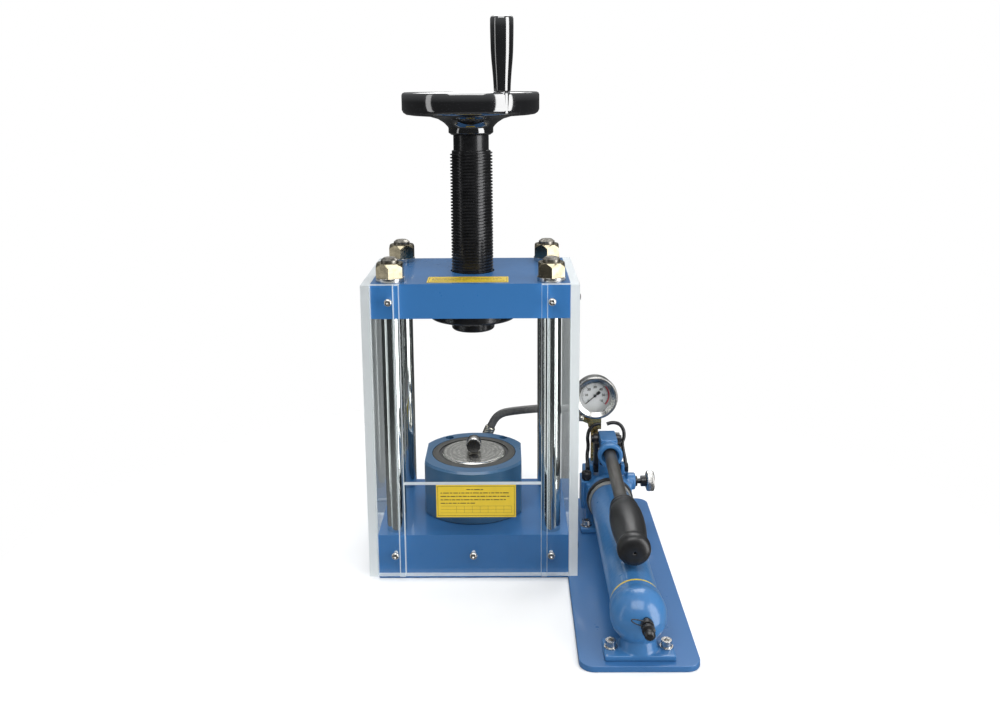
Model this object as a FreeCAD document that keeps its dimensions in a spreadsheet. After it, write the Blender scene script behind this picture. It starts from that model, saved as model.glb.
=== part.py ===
"""Hand-pumped laboratory tablet press with a lead screw, a clear shield and a side-mounted pump.

Origin: the screw axis at the underside of the mounting plate. +Z up, +X towards the pump, -Y front.
"""

import FreeCAD, Part
import math
import os
import re

import Sketcher
from FreeCAD import Placement, Rotation, Vector

SIZES = {
    # mounting plate and press frame
    "mount_thick": 8, "press_wide": 270, "press_deep": 195, "base_high": 58, "daylight": 315,
    "crown_high": 48, "pump_plate_left": 134, "pump_plate_right": 281, "pump_plate_front": 321,
    "pump_plate_rear": 150, "plate_corner": 18,
    # columns, nuts and washers
    "column_radius": 14, "column_half_x": 110, "column_half_y": 76, "stud_radius": 12,
    "stud_sink": 46, "stud_rise": 81, "nut_flats": 36, "nut_high": 20, "washer_high": 6,
    "washer_radius": 19.5, "stud_clearance": 0.15, "washer_split": 3,
    # lead nut, screw and foot
    "nut_flange_radius": 64, "nut_flange_high": 20, "nut_sleeve_radius": 40, "nut_sleeve_high": 40,
    "flange_bolt_circle": 52, "flange_bolt_count": 6, "screw_radius": 30, "screw_thread_long": 240,
    "shaft_radius": 25, "shaft_long": 22, "stub_radius": 14, "stub_long": 43, "foot_radius": 31,
    "foot_high": 18, "spigot_radius": 12, "spigot_long": 12, "running_gap": 0.05,
    # handwheel and revolving handle
    "wheel_radius": 96, "wheel_high": 31, "rim_thick": 16, "web_thick": 7, "collar_radius": 31.5,
    "collar_high": 10, "cone_radius": 43, "cone_high": 12, "hub_radius": 26, "hub_top_drop": 14,
    "handle_circle": 84, "handle_angle": -58, "handle_long": 98, "handle_top_radius": 15,
    "handle_low_radius": 11.2, "spindle_radius": 5, "key_wide": 8, "key_long": 24,
    # clear shield
    "shield_thick": 12, "front_thick": 10, "strip_wide": 31, "rib_wide": 8, "panel_high": 138,
    "screw_head_radius": 5.4, "screw_shank_radius": 2.5, "screw_inset_x": 25, "upper_screw_height": 406,
    "lower_screw_height": 39.5, "front_screw_reach": 15.5, "side_screw_reach": 22,
    "label_wide": 111, "label_high": 48, "label_thick": 0.4, "top_label_deep": 38,
    # ram cylinder
    "ram_x": -2, "ram_y": 15, "cylinder_radius": 82, "cylinder_flat": 71.5, "cylinder_high": 80,
    "gland_radius": 63, "gland_deep": 14, "wiper_radius": 52, "piston_radius": 48,
    "lifting_hole_radius": 6.5, "lifting_hole_x": 42, "lifting_hole_y": 58.5, "lifting_hole_deep": 14,
    "pin_radius": 11, "pin_long": 21,
    # pump
    "pump_x": 208, "tank_height": 55, "tank_radius": 31, "tank_wall": 3, "tank_front": -275,
    "tank_rear": 44, "ball_y": -283, "ball_radius": 35, "foot_wide": 86, "foot_front": -311,
    "foot_deep": 40, "foot_thick": 7, "pivot_y": 104, "pivot_height": 131, "plunger_y": 80,
    "rocker_wide": 26, "rocker_front": 61.2, "slot_wide": 15, "crosshead_wide": 12, "plunger_radius": 7,
    "lever_radius": 9.5, "socket_radius": 19.5, "lever_tilt": 2.6, "lever_long": 262,
    "grip_long": 122, "grip_end_radius": 21.8,
    "valve_height": 69, "valve_y": 80, "valve_knob_radius": 16,
    # gauge and hose
    "gauge_x": 191, "gauge_height": 196, "gauge_front": 112, "gauge_radius": 35.5,
    "gauge_case_radius": 32.5, "gauge_depth": 30, "tee_y": 128, "tee_height": 152,
    "hose_radius": 6.5, "ferrule_radius": 8.5, "ferrule_long": 20, "elbow_x": 1.5, "elbow_y": 114,
}

# The hose route from the ferrule on the cylinder to the ferrule on the gauge tee.
HOSE_ROUTE = [
    (22.0, 115.0, 148.5), (26.2, 115.3, 157.6), (32.7, 116.2, 165.9), (42.4, 117.5, 171.1),
    (57.2, 119.4, 173.0), (80.0, 122.0, 174.6), (108.0, 124.4, 176.0), (136.5, 126.3, 174.2),
    (154.5, 127.5, 166.0),
]

doc = FreeCAD.newDocument("tablet_press")
sheet = doc.addObject("Spreadsheet::Sheet", "Sizes")
for row, (alias, number) in enumerate(SIZES.items(), 1):
    sheet.set("A%d" % row, str(number))
    sheet.setAlias("A%d" % row, alias)
doc.recompute()

parts = []

BASE_TOP = "(mount_thick + base_high)"
CROWN_LOW = "(mount_thick + base_high + daylight)"
CROWN_TOP = "(mount_thick + base_high + daylight + crown_high)"
FLANGE_LOW = "(%s - nut_flange_high)" % CROWN_LOW
THREAD_TOP = "(%s + screw_thread_long)" % FLANGE_LOW
HUB_LOW = "(%s + shaft_long)" % THREAD_TOP
RIM_LOW = "(%s + collar_high + cone_high + 6)" % HUB_LOW
RIM_TOP = "(%s + wheel_high)" % RIM_LOW
RAM_TOP = "(%s + cylinder_high)" % BASE_TOP
FRONT_FACE = "(press_deep / 2 + front_thick)"

ALONG_Y = Rotation(Vector(1, 0, 0), -90)
ALONG_X = Rotation(Vector(0, 1, 0), 90)
TOWARDS_FRONT = Rotation(Vector(1, 0, 0), 90)


def size(expression):
    """The number that an expression of sheet names comes to, worked out on a spare point."""
    if not isinstance(expression, str):
        return float(expression)
    probe = doc.getObject("SizeProbe") or doc.addObject("Part::Vertex", "SizeProbe")
    probe.setExpression("X", qualified(expression))
    probe.recompute()
    return float(probe.X)


def qualified(expression):
    """Put the sheet's name before each of its aliases."""
    return re.sub(r"[a-z_][a-z_0-9]*", lambda m: prefixed(m.group(0)), expression)


def prefixed(word):
    return "Sizes." + word if word in SIZES else word


def place(item, x, y, z, turn=None):
    """Put an item at sheet-bound coordinates, turned about its own origin."""
    numbers = [0.0 if isinstance(value, str) else float(value) for value in (x, y, z)]
    item.Placement = Placement(Vector(*numbers), turn or Rotation())
    for axis, value in zip("xyz", (x, y, z)):
        if isinstance(value, str):
            item.setExpression("Placement.Base." + axis, qualified(value))
    return item


def bind(item, **values):
    """Set plain numbers, and bind strings to the sheet."""
    for name, value in values.items():
        if isinstance(value, str):
            item.setExpression(name, qualified(value))
        else:
            setattr(item, name, value)
    return item


def add(kind, **values):
    return bind(doc.addObject(kind, kind.split("::")[1] + "Item"), **values)


def box(x, y, z, length, width, height, turn=None):
    return place(add("Part::Box", Length=length, Width=width, Height=height), x, y, z, turn)


def rod(x, y, z, radius, height, turn=None):
    return place(add("Part::Cylinder", Radius=radius, Height=height), x, y, z, turn)


def cone(x, y, z, low, top, height, turn=None):
    return place(add("Part::Cone", Radius1=low, Radius2=top, Height=height), x, y, z, turn)


def ball(x, y, z, radius):
    return place(add("Part::Sphere", Radius=radius), x, y, z)


def hexagon(x, y, z, flats, height, turn=None):
    item = add("Part::Prism", Polygon=6, Circumradius="(%s) / 1.7320508" % flats, Height=height)
    return place(item, x, y, z, turn or Rotation(Vector(0, 0, 1), 30))


def fused(*items):
    group = add("Part::MultiFuse")
    group.Shapes = list(items)
    group.Refine = True
    return group


def cut(base, *tools):
    item = add("Part::Cut")
    item.Base = base
    item.Tool = tools[0] if len(tools) == 1 else fused(*tools)
    return item


def common(base, tool):
    item = add("Part::Common")
    item.Base = base
    item.Tool = tool
    return item


def grouped(*items):
    group = add("Part::Compound")
    group.Links = list(items)
    return group


def keep(label, item):
    """Name a finished sub-part."""
    item.Label = label
    parts.append(item)
    return item


def origin_plane(body, role):
    return next(item for item in body.Origin.OriginFeatures if item.Role == role)


def draw_outline(sketch, points):
    """A closed outline whose corners are held at sheet-bound distances from the sketch origin."""
    corners = [Vector(size(x), size(y), 0) for x, y in points]
    count = len(corners)
    for index, corner in enumerate(corners):
        sketch.addGeometry(Part.LineSegment(corner, corners[(index + 1) % count]), False)
    for index in range(count):
        sketch.addConstraint(Sketcher.Constraint("Coincident", index, 2, (index + 1) % count, 1))
    for index, corner in enumerate(points):
        hold(sketch, index, "DistanceX", corner[0], -2)
        hold(sketch, index, "DistanceY", corner[1], -1)


def hold(sketch, index, kind, value, axis_line):
    """Hold one corner: on an axis of the sketch, or at a distance along it."""
    number = size(value)
    if abs(number) < 1e-9:
        sketch.addConstraint(Sketcher.Constraint("PointOnObject", index, 1, axis_line))
        return
    name = "%s%d" % (kind, index)
    place_at = sketch.addConstraint(Sketcher.Constraint(kind, -1, 1, index, 1, number))
    sketch.renameConstraint(place_at, name)
    if isinstance(value, str):
        sketch.setExpression("Constraints." + name, qualified(value))


def new_sketch(body, role, points):
    sketch = body.newObject("Sketcher::SketchObject", body.Name + "_outline")
    sketch.AttachmentSupport = [(origin_plane(body, role), "")]
    sketch.MapMode = "FlatFace"
    draw_outline(sketch, points)
    return sketch


def turned(points, x=0, y=0, z=0, turn=None):
    """A solid turned about its own Z axis from an outline of (radius, height) corners."""
    body = doc.addObject("PartDesign::Body", "TurnedBody")
    sketch = new_sketch(body, "XZ_Plane", points)
    feature = body.newObject("PartDesign::Revolution", "Turned")
    feature.Profile = sketch
    feature.ReferenceAxis = (sketch, ["V_Axis"])
    feature.Angle = 360
    return place(body, x, y, z, turn)


def padded(points, thickness, corner_radius=None, corners=()):
    """A plate from an outline, with the named corners rounded."""
    body = doc.addObject("PartDesign::Body", "PlateBody")
    sketch = new_sketch(body, "XY_Plane", points)
    feature = body.newObject("PartDesign::Pad", "Plate")
    feature.Profile = sketch
    bind(feature, Length=thickness)
    if corners:
        doc.recompute()
        rounding = body.newObject("PartDesign::Fillet", "Corners")
        rounding.Base = (feature, upright_edges(feature.Shape, corners))
        bind(rounding, Radius=corner_radius)
    return body


def upright_edges(shape, corners):
    """Names of the upright edges that stand at the given plan corners."""
    wanted = [(size(x), size(y)) for x, y in corners]
    names = []
    for number, edge in enumerate(shape.Edges, 1):
        ends = [(v.X, v.Y) for v in edge.Vertexes]
        if len(ends) == 2 and math.dist(*ends) < 1e-6:
            if any(math.dist(ends[0], corner) < 1e-3 for corner in wanted):
                names.append("Edge%d" % number)
    return names


def signs():
    return [(-1, -1), (1, -1), (-1, 1), (1, 1)]


def signed(sign, name):
    return "%d * (%s)" % (sign, name)


# ---------------------------------------------------------------- press frame

def make_mounting_plate():
    left, right = "pump_plate_left", "pump_plate_right"
    front, rear = "-pump_plate_front", "pump_plate_rear"
    side, half = "-press_wide / 2", "press_deep / 2"
    outline = [
        (side, "-press_deep / 2"), (left, "-press_deep / 2"), (left, front), (right, front),
        (right, rear), (left, rear), (left, half), (side, half),
    ]
    rounded = [(left, front), (right, front), (right, rear), (left, rear)]
    keep("mounting_plate", padded(outline, "mount_thick", "plate_corner", rounded))


def stud_holes(z, depth, clearance):
    """Four holes for the column studs."""
    return [
        rod(signed(sx, "column_half_x"), signed(sy, "column_half_y"), z,
            "stud_radius + " + clearance, depth)
        for sx, sy in signs()
    ]


def front_screw_places():
    """Plan position and height of each front screw."""
    edge = "(press_wide / 2 - screw_inset_x)"
    upper = [(signed(side, edge), "upper_screw_height") for side in (-1, 1)]
    lower = [(x, "lower_screw_height") for x in (signed(-1, edge), 0, signed(1, edge))]
    return upper + lower


def side_screw_places():
    return [
        (side, signed(depth, "column_half_y"), height)
        for side in (-1, 1)
        for depth in (-1, 1)
        for height in ("upper_screw_height", "lower_screw_height")
    ]


def front_holes(upper):
    """Tapped holes for the front screws in the crown plate or in the base."""
    chosen = [p for p in front_screw_places() if (p[1] == "upper_screw_height") == upper]
    return [
        rod(x, "-press_deep / 2 + 16", z, "screw_shank_radius + 0.1", 16, TOWARDS_FRONT)
        for x, z in chosen
    ]


def side_holes(upper):
    """Tapped holes for the side screws in the crown plate or in the base."""
    name = "upper_screw_height" if upper else "lower_screw_height"
    chosen = [p for p in side_screw_places() if p[2] == name]
    return [
        rod("%d * press_wide / 2 - %d" % (side, 14 if side > 0 else 2), y, z,
            "screw_shank_radius + 0.1", 16, ALONG_X)
        for side, y, z in chosen
    ]


def make_base_block():
    block = box("-press_wide / 2", "-press_deep / 2", "mount_thick",
                "press_wide", "press_deep", "base_high")
    tools = stud_holes(BASE_TOP + " - stud_sink - 2", "stud_sink + 2", "stud_clearance")
    keep("base_block", cut(block, *tools, *front_holes(False), *side_holes(False)))


def make_top_plate():
    block = box("-press_wide / 2", "-press_deep / 2", CROWN_LOW,
                "press_wide", "press_deep", "crown_high")
    tools = stud_holes(CROWN_LOW, "crown_high", "stud_clearance")
    tools.append(rod(0, 0, CROWN_LOW, "nut_sleeve_radius + 0.05", "nut_sleeve_high + 0.5"))
    tools.append(rod(0, 0, CROWN_LOW, "screw_radius + 1.5", "crown_high"))
    tools += flange_bolts(CROWN_LOW, "4.1", 22)
    keep("top_plate", cut(block, *tools, *front_holes(True), *side_holes(True)))


def make_columns():
    """Four ground columns, each with a threaded stud at both ends."""
    profile = [
        (0, BASE_TOP + " - stud_sink"), ("stud_radius", BASE_TOP + " - stud_sink"),
        ("stud_radius", BASE_TOP), ("column_radius", BASE_TOP), ("column_radius", CROWN_LOW),
        ("stud_radius", CROWN_LOW), ("stud_radius", CROWN_LOW + " + stud_rise - 3"),
        ("stud_radius - 4", CROWN_LOW + " + stud_rise"), (0, CROWN_LOW + " + stud_rise"),
    ]
    for number, (sx, sy) in enumerate(signs(), 1):
        column = turned(profile, signed(sx, "column_half_x"), signed(sy, "column_half_y"))
        keep("column_%d" % number, column)


def make_column_nuts():
    nuts = []
    for sx, sy in signs():
        x, y = signed(sx, "column_half_x"), signed(sy, "column_half_y")
        base = CROWN_TOP + " + washer_high"
        hexes = hexagon(x, y, base, "nut_flats", "nut_high")
        crown = cone(x, y, base, "nut_flats * 0.5 + 11", "nut_flats / 2 - 0.5", "nut_high")
        nuts.append(cut(common(hexes, crown), rod(x, y, base, "stud_radius + 0.1", "nut_high")))
    keep("column_nuts", grouped(*nuts))


def make_lock_washers():
    """Split spring washers under the nuts."""
    washers = []
    for sx, sy in signs():
        x, y = signed(sx, "column_half_x"), signed(sy, "column_half_y")
        ring = rod(x, y, CROWN_TOP, "washer_radius", "washer_high")
        bore = rod(x, y, CROWN_TOP, "stud_radius + 0.3", "washer_high")
        gap = box(x, signed(sy, "column_half_y") + " - washer_split / 2", CROWN_TOP,
                  "washer_radius + 2", "washer_split", "washer_high")
        washers.append(cut(ring, bore, gap))
    keep("column_lock_washers", grouped(*washers))


# ---------------------------------------------------------------- lead screw

def flange_bolts(z, radius, depth):
    """Cylinders on the flange's bolt circle."""
    count = SIZES["flange_bolt_count"]
    angles = [math.radians(360.0 * k / count + 30) for k in range(count)]
    return [
        rod("flange_bolt_circle * %.6f" % math.cos(a), "flange_bolt_circle * %.6f" % math.sin(a),
            z, radius, depth)
        for a in angles
    ]


def make_lead_nut():
    low = FLANGE_LOW
    body = turned([
        ("screw_radius + running_gap", low), ("nut_flange_radius - 3", low),
        ("nut_flange_radius", low + " + 3"), ("nut_flange_radius", CROWN_LOW),
        ("nut_sleeve_radius", CROWN_LOW), ("nut_sleeve_radius", CROWN_LOW + " + nut_sleeve_high"),
        ("screw_radius + running_gap", CROWN_LOW + " + nut_sleeve_high"),
    ])
    holes = flange_bolts(low, "4.1", "nut_flange_high") + flange_bolts(low, "6.6", 9)
    keep("lead_nut", cut(body, *holes))
    shanks = flange_bolts(low + " + 9", "4", "nut_flange_high + 8")
    heads = flange_bolts(low + " + 1", "6.5", 8)
    sockets = flange_bolts(low + " + 1", "3", 4)
    bolts = [cut(fused(shank, head), socket) for shank, head, socket in zip(shanks, heads, sockets)]
    keep("lead_nut_bolts", grouped(*bolts))


def make_lead_screw():
    top = HUB_LOW + " + stub_long"
    body = turned([
        (0, FLANGE_LOW + " - spigot_long"), ("spigot_radius", FLANGE_LOW + " - spigot_long"),
        ("spigot_radius", FLANGE_LOW), ("screw_radius - 3", FLANGE_LOW),
        ("screw_radius", FLANGE_LOW + " + 3"), ("screw_radius", THREAD_TOP + " - 2"),
        ("screw_radius - 2", THREAD_TOP), ("shaft_radius", THREAD_TOP), ("shaft_radius", HUB_LOW),
        ("stub_radius", HUB_LOW), ("stub_radius", top), (5.1, top), (5.1, top + " - 30"),
        (0, top + " - 30"),
    ])
    keyway = box("stub_radius - 4", "-key_wide / 2 - 0.05", HUB_LOW + " + 6", 8, "key_wide + 0.1",
                 "key_long + 0.4")
    keep("lead_screw", cut(body, keyway))


def make_press_foot():
    low = FLANGE_LOW + " - foot_high"
    keep("press_foot", turned([
        (0, low), ("foot_radius - 2", low), ("foot_radius", low + " + 2"),
        ("foot_radius", FLANGE_LOW + " - 0.3"),
        ("spigot_radius + running_gap", FLANGE_LOW + " - 0.3"),
        ("spigot_radius + running_gap", FLANGE_LOW + " - spigot_long - 0.3"),
        (0, FLANGE_LOW + " - spigot_long - 0.3"),
    ]))


def handle_place():
    angle = math.radians(SIZES["handle_angle"])
    return "handle_circle * %.6f" % math.cos(angle), "handle_circle * %.6f" % math.sin(angle)


def make_handwheel():
    inner, web_top = "(wheel_radius - rim_thick)", "(%s + web_thick)" % RIM_LOW
    hub_top = RIM_TOP + " - hub_top_drop"
    body = turned([
        ("stub_radius + 0.03", HUB_LOW), ("collar_radius - 4", HUB_LOW),
        ("collar_radius", HUB_LOW + " + 3"), ("collar_radius", HUB_LOW + " + collar_high"),
        ("cone_radius", HUB_LOW + " + collar_high + cone_high"), ("wheel_radius - 10", RIM_LOW),
        ("wheel_radius", RIM_LOW + " + 5"), ("wheel_radius", RIM_TOP + " - 2"),
        ("wheel_radius - 2", RIM_TOP), (inner, RIM_TOP), (inner, web_top), ("hub_radius", web_top),
        ("hub_radius", hub_top), ("stub_radius + 0.03", hub_top),
    ])
    x, y = handle_place()
    boss = common(rod(x, y, RIM_LOW + " + 2", 13, "wheel_high - 2"),
                  rod(0, 0, RIM_LOW, "wheel_radius - 1", "wheel_high"))
    wheel = fused(body, boss)
    keyway = box("stub_radius - 4", "-key_wide / 2 - 0.05", HUB_LOW + " + 6", 8.2, "key_wide + 0.1",
                 "key_long + 0.4")
    pocket = rod(x, y, RIM_LOW + " + 6", "spindle_radius + 0.03", "wheel_high")
    keep("handwheel", cut(wheel, keyway, pocket))
    keep("handwheel_key", box("stub_radius - 3.9", "-key_wide / 2", HUB_LOW + " + 6.2", 7.9,
                              "key_wide", "key_long"))


def make_handwheel_bolt():
    hub_top = "(%s - hub_top_drop)" % RIM_TOP
    washer = rod(0, 0, hub_top, 18, 2.5)
    head = hexagon(0, 0, hub_top + " + 2.5", "17", 7)
    shank = rod(0, 0, hub_top + " - 26", 5, 28)
    keep("handwheel_bolt", fused(washer, head, shank))


def make_handle():
    x, y = handle_place()
    keep("handle_spindle", turned([
        (0, RIM_LOW + " + 6.2"), ("spindle_radius", RIM_LOW + " + 6.2"),
        ("spindle_radius", RIM_TOP + " + handle_long - 9"), (0, RIM_TOP + " + handle_long - 9"),
    ], x, y))
    low, top = RIM_TOP + " + 0.4", RIM_TOP + " + handle_long"
    keep("handle_grip", turned([
        ("spindle_radius + running_gap", low), ("handle_low_radius - 1", low),
        ("handle_low_radius", low + " + 1.5"), ("handle_top_radius - 1", low + " + 38"),
        ("handle_top_radius", low + " + 56"), ("handle_top_radius + 0.4", top + " - 4"),
        ("handle_top_radius - 3", top), (0, top), (0, top + " - 8"),
        ("spindle_radius + running_gap", top + " - 8"),
    ], x, y))


# ---------------------------------------------------------------- clear shield

def make_side_shields():
    for side, name in ((-1, "left"), (1, "right")):
        x = "press_wide / 2" if side > 0 else "-press_wide / 2 - shield_thick"
        panel = box(x, "-" + FRONT_FACE, "mount_thick + 0.2", "shield_thick",
                    "press_deep + front_thick", CROWN_TOP + " - mount_thick + 0.3")
        holes = [
            rod(x + " - 1", y, z, "screw_shank_radius + 0.2", "shield_thick + 2", ALONG_X)
            for sign, y, z in side_screw_places() if sign == side
        ]
        keep("side_shield_" + name, cut(panel, *holes))


def front_hole(x, z):
    return rod(x, "-press_deep / 2 + 1", z, "screw_shank_radius + 0.2", "front_thick + 2",
               TOWARDS_FRONT)


def make_front_shield():
    """Two fixed strips, two slim guide ribs beside them and the low splash panel between."""
    low, tall = "mount_thick + 0.2", CROWN_TOP + " - mount_thick + 0.3"
    ribs = []
    for side, name in ((-1, "left"), (1, "right")):
        x = "press_wide / 2 - strip_wide" if side > 0 else "-press_wide / 2"
        strip = box(x, "-" + FRONT_FACE, low, "strip_wide", "front_thick", tall)
        holes = [front_hole(px, pz) for px, pz in front_screw_places()
                 if px != 0 and px.startswith("-") == (side < 0)]
        keep("front_strip_" + name, cut(strip, *holes))
        rib_x = "%d * (press_wide / 2 - strip_wide - rib_wide / 2) - rib_wide / 2" % side
        ribs.append(box(rib_x, "-" + FRONT_FACE + " - 1.5", low, "rib_wide", "front_thick + 1.5", tall))
    keep("guide_ribs", grouped(*ribs))
    half = "(press_wide / 2 - strip_wide - rib_wide - 0.3)"
    panel = box("-" + half, "-" + FRONT_FACE, low, "2 * " + half, "front_thick", "panel_high")
    keep("front_panel", cut(panel, front_hole(0, "lower_screw_height")))


def make_shield_screws():
    """Domed cap screws through the clear panels; the front ones stop short of the columns."""

    def screw(reach, x, y, z, turn):
        head = " + " + reach
        return turned([
            (0, 0), ("screw_shank_radius", 0), ("screw_shank_radius", reach),
            ("screw_head_radius", reach), ("screw_head_radius", "1.5" + head),
            ("screw_head_radius - 2", "3.5" + head), (0, "3.5" + head),
        ], x, y, z, turn)

    screws = [
        screw("front_screw_reach", x, "-" + FRONT_FACE + " + front_screw_reach", z, TOWARDS_FRONT)
        for x, z in front_screw_places()
    ]
    for side, y, z in side_screw_places():
        turn = ALONG_X if side > 0 else Rotation(Vector(0, 1, 0), -90)
        x = "%d * (press_wide / 2 + shield_thick - side_screw_reach)" % side
        screws.append(screw("side_screw_reach", x, y, z, turn))
    keep("shield_screws", grouped(*screws))


def make_labels():
    """Two plain yellow plates: one on the splash panel, one on the crown."""
    front = box("4.8 - label_wide / 2", "-" + FRONT_FACE + " - label_thick",
                "mount_thick + panel_high - label_high", "label_wide", "label_thick", "label_high")
    top = box("-4 - label_wide / 2", "-88", CROWN_TOP, "label_wide", "top_label_deep", "label_thick")
    keep("label_plates", grouped(front, top))


# ---------------------------------------------------------------- ram cylinder

def make_cylinder():
    top, low = RAM_TOP, BASE_TOP
    drum = turned([
        (0, low), ("cylinder_radius - 2", low), ("cylinder_radius", low + " + 2"),
        ("cylinder_radius", top + " - 3"), ("cylinder_radius - 3", top),
        ("gland_radius + 0.05", top), ("gland_radius + 0.05", top + " - gland_deep"),
        ("piston_radius + 1.5", top + " - gland_deep"), ("piston_radius + 1.5", low + " + 16"),
        (0, low + " + 16"),
    ], "ram_x", "ram_y")
    slab = box("ram_x - cylinder_flat", "ram_y - cylinder_radius", low,
               "2 * cylinder_flat", "2 * cylinder_radius", "cylinder_high")
    holes = [
        rod(signed(side, "lifting_hole_x"), "ram_y + lifting_hole_y", top + " - lifting_hole_deep",
            "lifting_hole_radius", "lifting_hole_deep")
        for side in (-1, 1)
    ]
    port = rod("elbow_x", "ram_y + 50", low + " + 38", 5, 60, ALONG_Y)
    keep("cylinder_body", cut(common(drum, slab), *holes, port))


def make_gland():
    top = RAM_TOP
    keep("gland_ring", turned([
        ("wiper_radius", top + " - gland_deep + 0.1"), ("gland_radius", top + " - gland_deep + 0.1"),
        ("gland_radius", top + " - 1"), ("gland_radius - 1", top), ("wiper_radius", top),
    ], "ram_x", "ram_y"))
    keep("rod_wiper", turned([
        ("piston_radius + 0.06", top + " - gland_deep + 0.1"),
        ("wiper_radius - 0.05", top + " - gland_deep + 0.1"), ("wiper_radius - 0.05", top + " - 1.5"),
        ("piston_radius + 0.06", top + " - 1.5"),
    ], "ram_x", "ram_y"))


def make_ram():
    top, low = RAM_TOP + " + 1", BASE_TOP + " + 18"
    keep("ram_piston", turned([
        (0, low), ("piston_radius", low), ("piston_radius", top + " - 2"), ("piston_radius - 2", top),
        (6.1, top), (6.1, top + " - 12"), (0, top + " - 12"),
    ], "ram_x", "ram_y"))
    neck = rod("ram_x", "ram_y", top + " - 11.5", 6, 14)
    barrel = rod("ram_x", "ram_y + pin_long / 2", top + " + pin_radius + 0.2", "pin_radius", "pin_long",
                 TOWARDS_FRONT)
    keep("centre_pin", fused(neck, barrel))


# ---------------------------------------------------------------- hose

def line_direction(a, b):
    return (Vector(*b) - Vector(*a)).normalize()


def route_wire(points):
    """Straight runs joined by arcs as large as each pair of runs allows; also the radii."""
    corners = [Vector(*p) for p in points]
    edges, radii, start = [], [], corners[0]
    for before, corner, after in zip(corners, corners[1:], corners[2:]):
        back, ahead = (before - corner).normalize(), (after - corner).normalize()
        reach = 0.45 * min((before - corner).Length, (after - corner).Length)
        half_turn = (math.pi - back.getAngle(ahead)) / 2
        radius = reach / math.tan(half_turn)
        middle = corner + (back + ahead).normalize() * (radius / math.cos(half_turn) - radius)
        arc = Part.Arc(corner + back * reach, middle, corner + ahead * reach)
        edges.append(Part.LineSegment(start, corner + back * reach).toShape())
        edges.append(arc.toShape())
        start = corner + ahead * reach
        radii.append(radius)
    edges.append(Part.LineSegment(start, corners[-1]).toShape())
    return Part.Wire(edges), radii


def make_hose():
    wire, radii = route_wire(HOSE_ROUTE)
    radius = size("hose_radius")
    ring = Part.Circle(Vector(*HOSE_ROUTE[0]), line_direction(*HOSE_ROUTE[:2]), radius)
    profile = Part.Wire([ring.toShape()])
    tube = wire.makePipeShell([profile], True, True)
    print("hose: length %.1f mm, radii %s" % (wire.Length, ["%.0f" % r for r in radii]))
    print("hose: volume %.0f, section x length %.0f"
          % (tube.Volume, math.pi * radius ** 2 * wire.Length))
    item = doc.addObject("Part::Feature", "HoseTube")
    item.Shape = tube
    keep("pressure_hose", item)


def along(start, direction, item):
    """Lay an item that was made along +Z on a line."""
    turn = Rotation(Vector(0, 0, 1), direction)
    item.Placement = Placement(start, turn)
    return item


def make_ferrules():
    """Crimped ferrules at both ends of the hose, each with a hexagonal swivel nut."""
    profile = [
        (0, 0), ("ferrule_radius - 1", 0), ("ferrule_radius", 1.5), ("ferrule_radius", 13),
        ("ferrule_radius - 2", "ferrule_long"), (0, "ferrule_long"),
    ]
    ferrules = [
        along(Vector(*tip), line_direction(neighbour, tip), turned(profile))
        for tip, neighbour in (HOSE_ROUTE[:2], HOSE_ROUTE[:-3:-1])
    ]
    keep("hose_ferrules", grouped(*ferrules))


def make_elbow():
    """Steel elbow that turns the cylinder's rear port up to the ferrule."""
    tip, away = Vector(*HOSE_ROUTE[0]), line_direction(HOSE_ROUTE[1], HOSE_ROUTE[0])
    foot = tip + away * size("ferrule_long")
    port_height = BASE_TOP + " + 38"
    stem = rod("elbow_x", "ram_y + 62", port_height, 4.9, "elbow_y - ram_y - 62", ALONG_Y)
    collar = hexagon("elbow_x", "ram_y + cylinder_radius + 1", port_height, "18", 8, ALONG_Y)
    body = ball("elbow_x", "elbow_y", port_height, 10)
    upright = add("Part::Cylinder", Radius=7, Height=foot.z - size(port_height))
    top = along(foot, away, upright)
    keep("port_elbow", fused(stem, collar, body, top))


# ---------------------------------------------------------------- pump

def make_tank():
    centre, height = "pump_x", "tank_height"
    length = "tank_rear - tank_front"
    shell = rod(centre, "tank_front", height, "tank_radius", length, ALONG_Y)
    bore = rod(centre, "tank_front", height, "tank_radius - tank_wall", length, ALONG_Y)
    keep("tank_tube", cut(shell, bore))
    for name, start, wide, proud in (
        ("tank_clamp_ring", 28, 8, 2.5), ("tank_seal_ring", 36.2, 7.6, 5), ("tank_mark_ring", -261, 3, 1.2),
    ):
        ring = rod(centre, start, height, "tank_radius + %s" % proud, wide, ALONG_Y)
        inside = rod(centre, start, height, "tank_radius + 0.05", wide, ALONG_Y)
        keep(name, cut(ring, inside))
    keep("tie_rod", rod(centre, "tank_front + 1", height, 4, length + " - 1.5", ALONG_Y))


def make_end_cap():
    """Ball-shaped front cap with its foot flange cast on."""
    centre, height = "pump_x", "tank_height"
    globe = ball(centre, "ball_y", height, "ball_radius")
    sleeve = rod(centre, "ball_y", height, "tank_radius + 2.5", "tank_front - ball_y + 13", ALONG_Y)
    pedestal = cone(centre, "ball_y - 4", "mount_thick + foot_thick", 24, 20, 18)
    flange = box("pump_x - foot_wide / 2", "foot_front", "mount_thick", "foot_wide", "foot_deep",
                 "foot_thick")
    bore = rod(centre, "tank_front", height, "tank_radius + 0.05", 40, ALONG_Y)
    vent = rod(centre + " + 5", "ball_y - 20", "tank_height + 8", 5.05, 30, TOWARDS_FRONT)
    holes = pump_bolt_holes(-1)
    keep("tank_end_cap", cut(fused(globe, sleeve, pedestal, flange), bore, vent, *holes))


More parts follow.
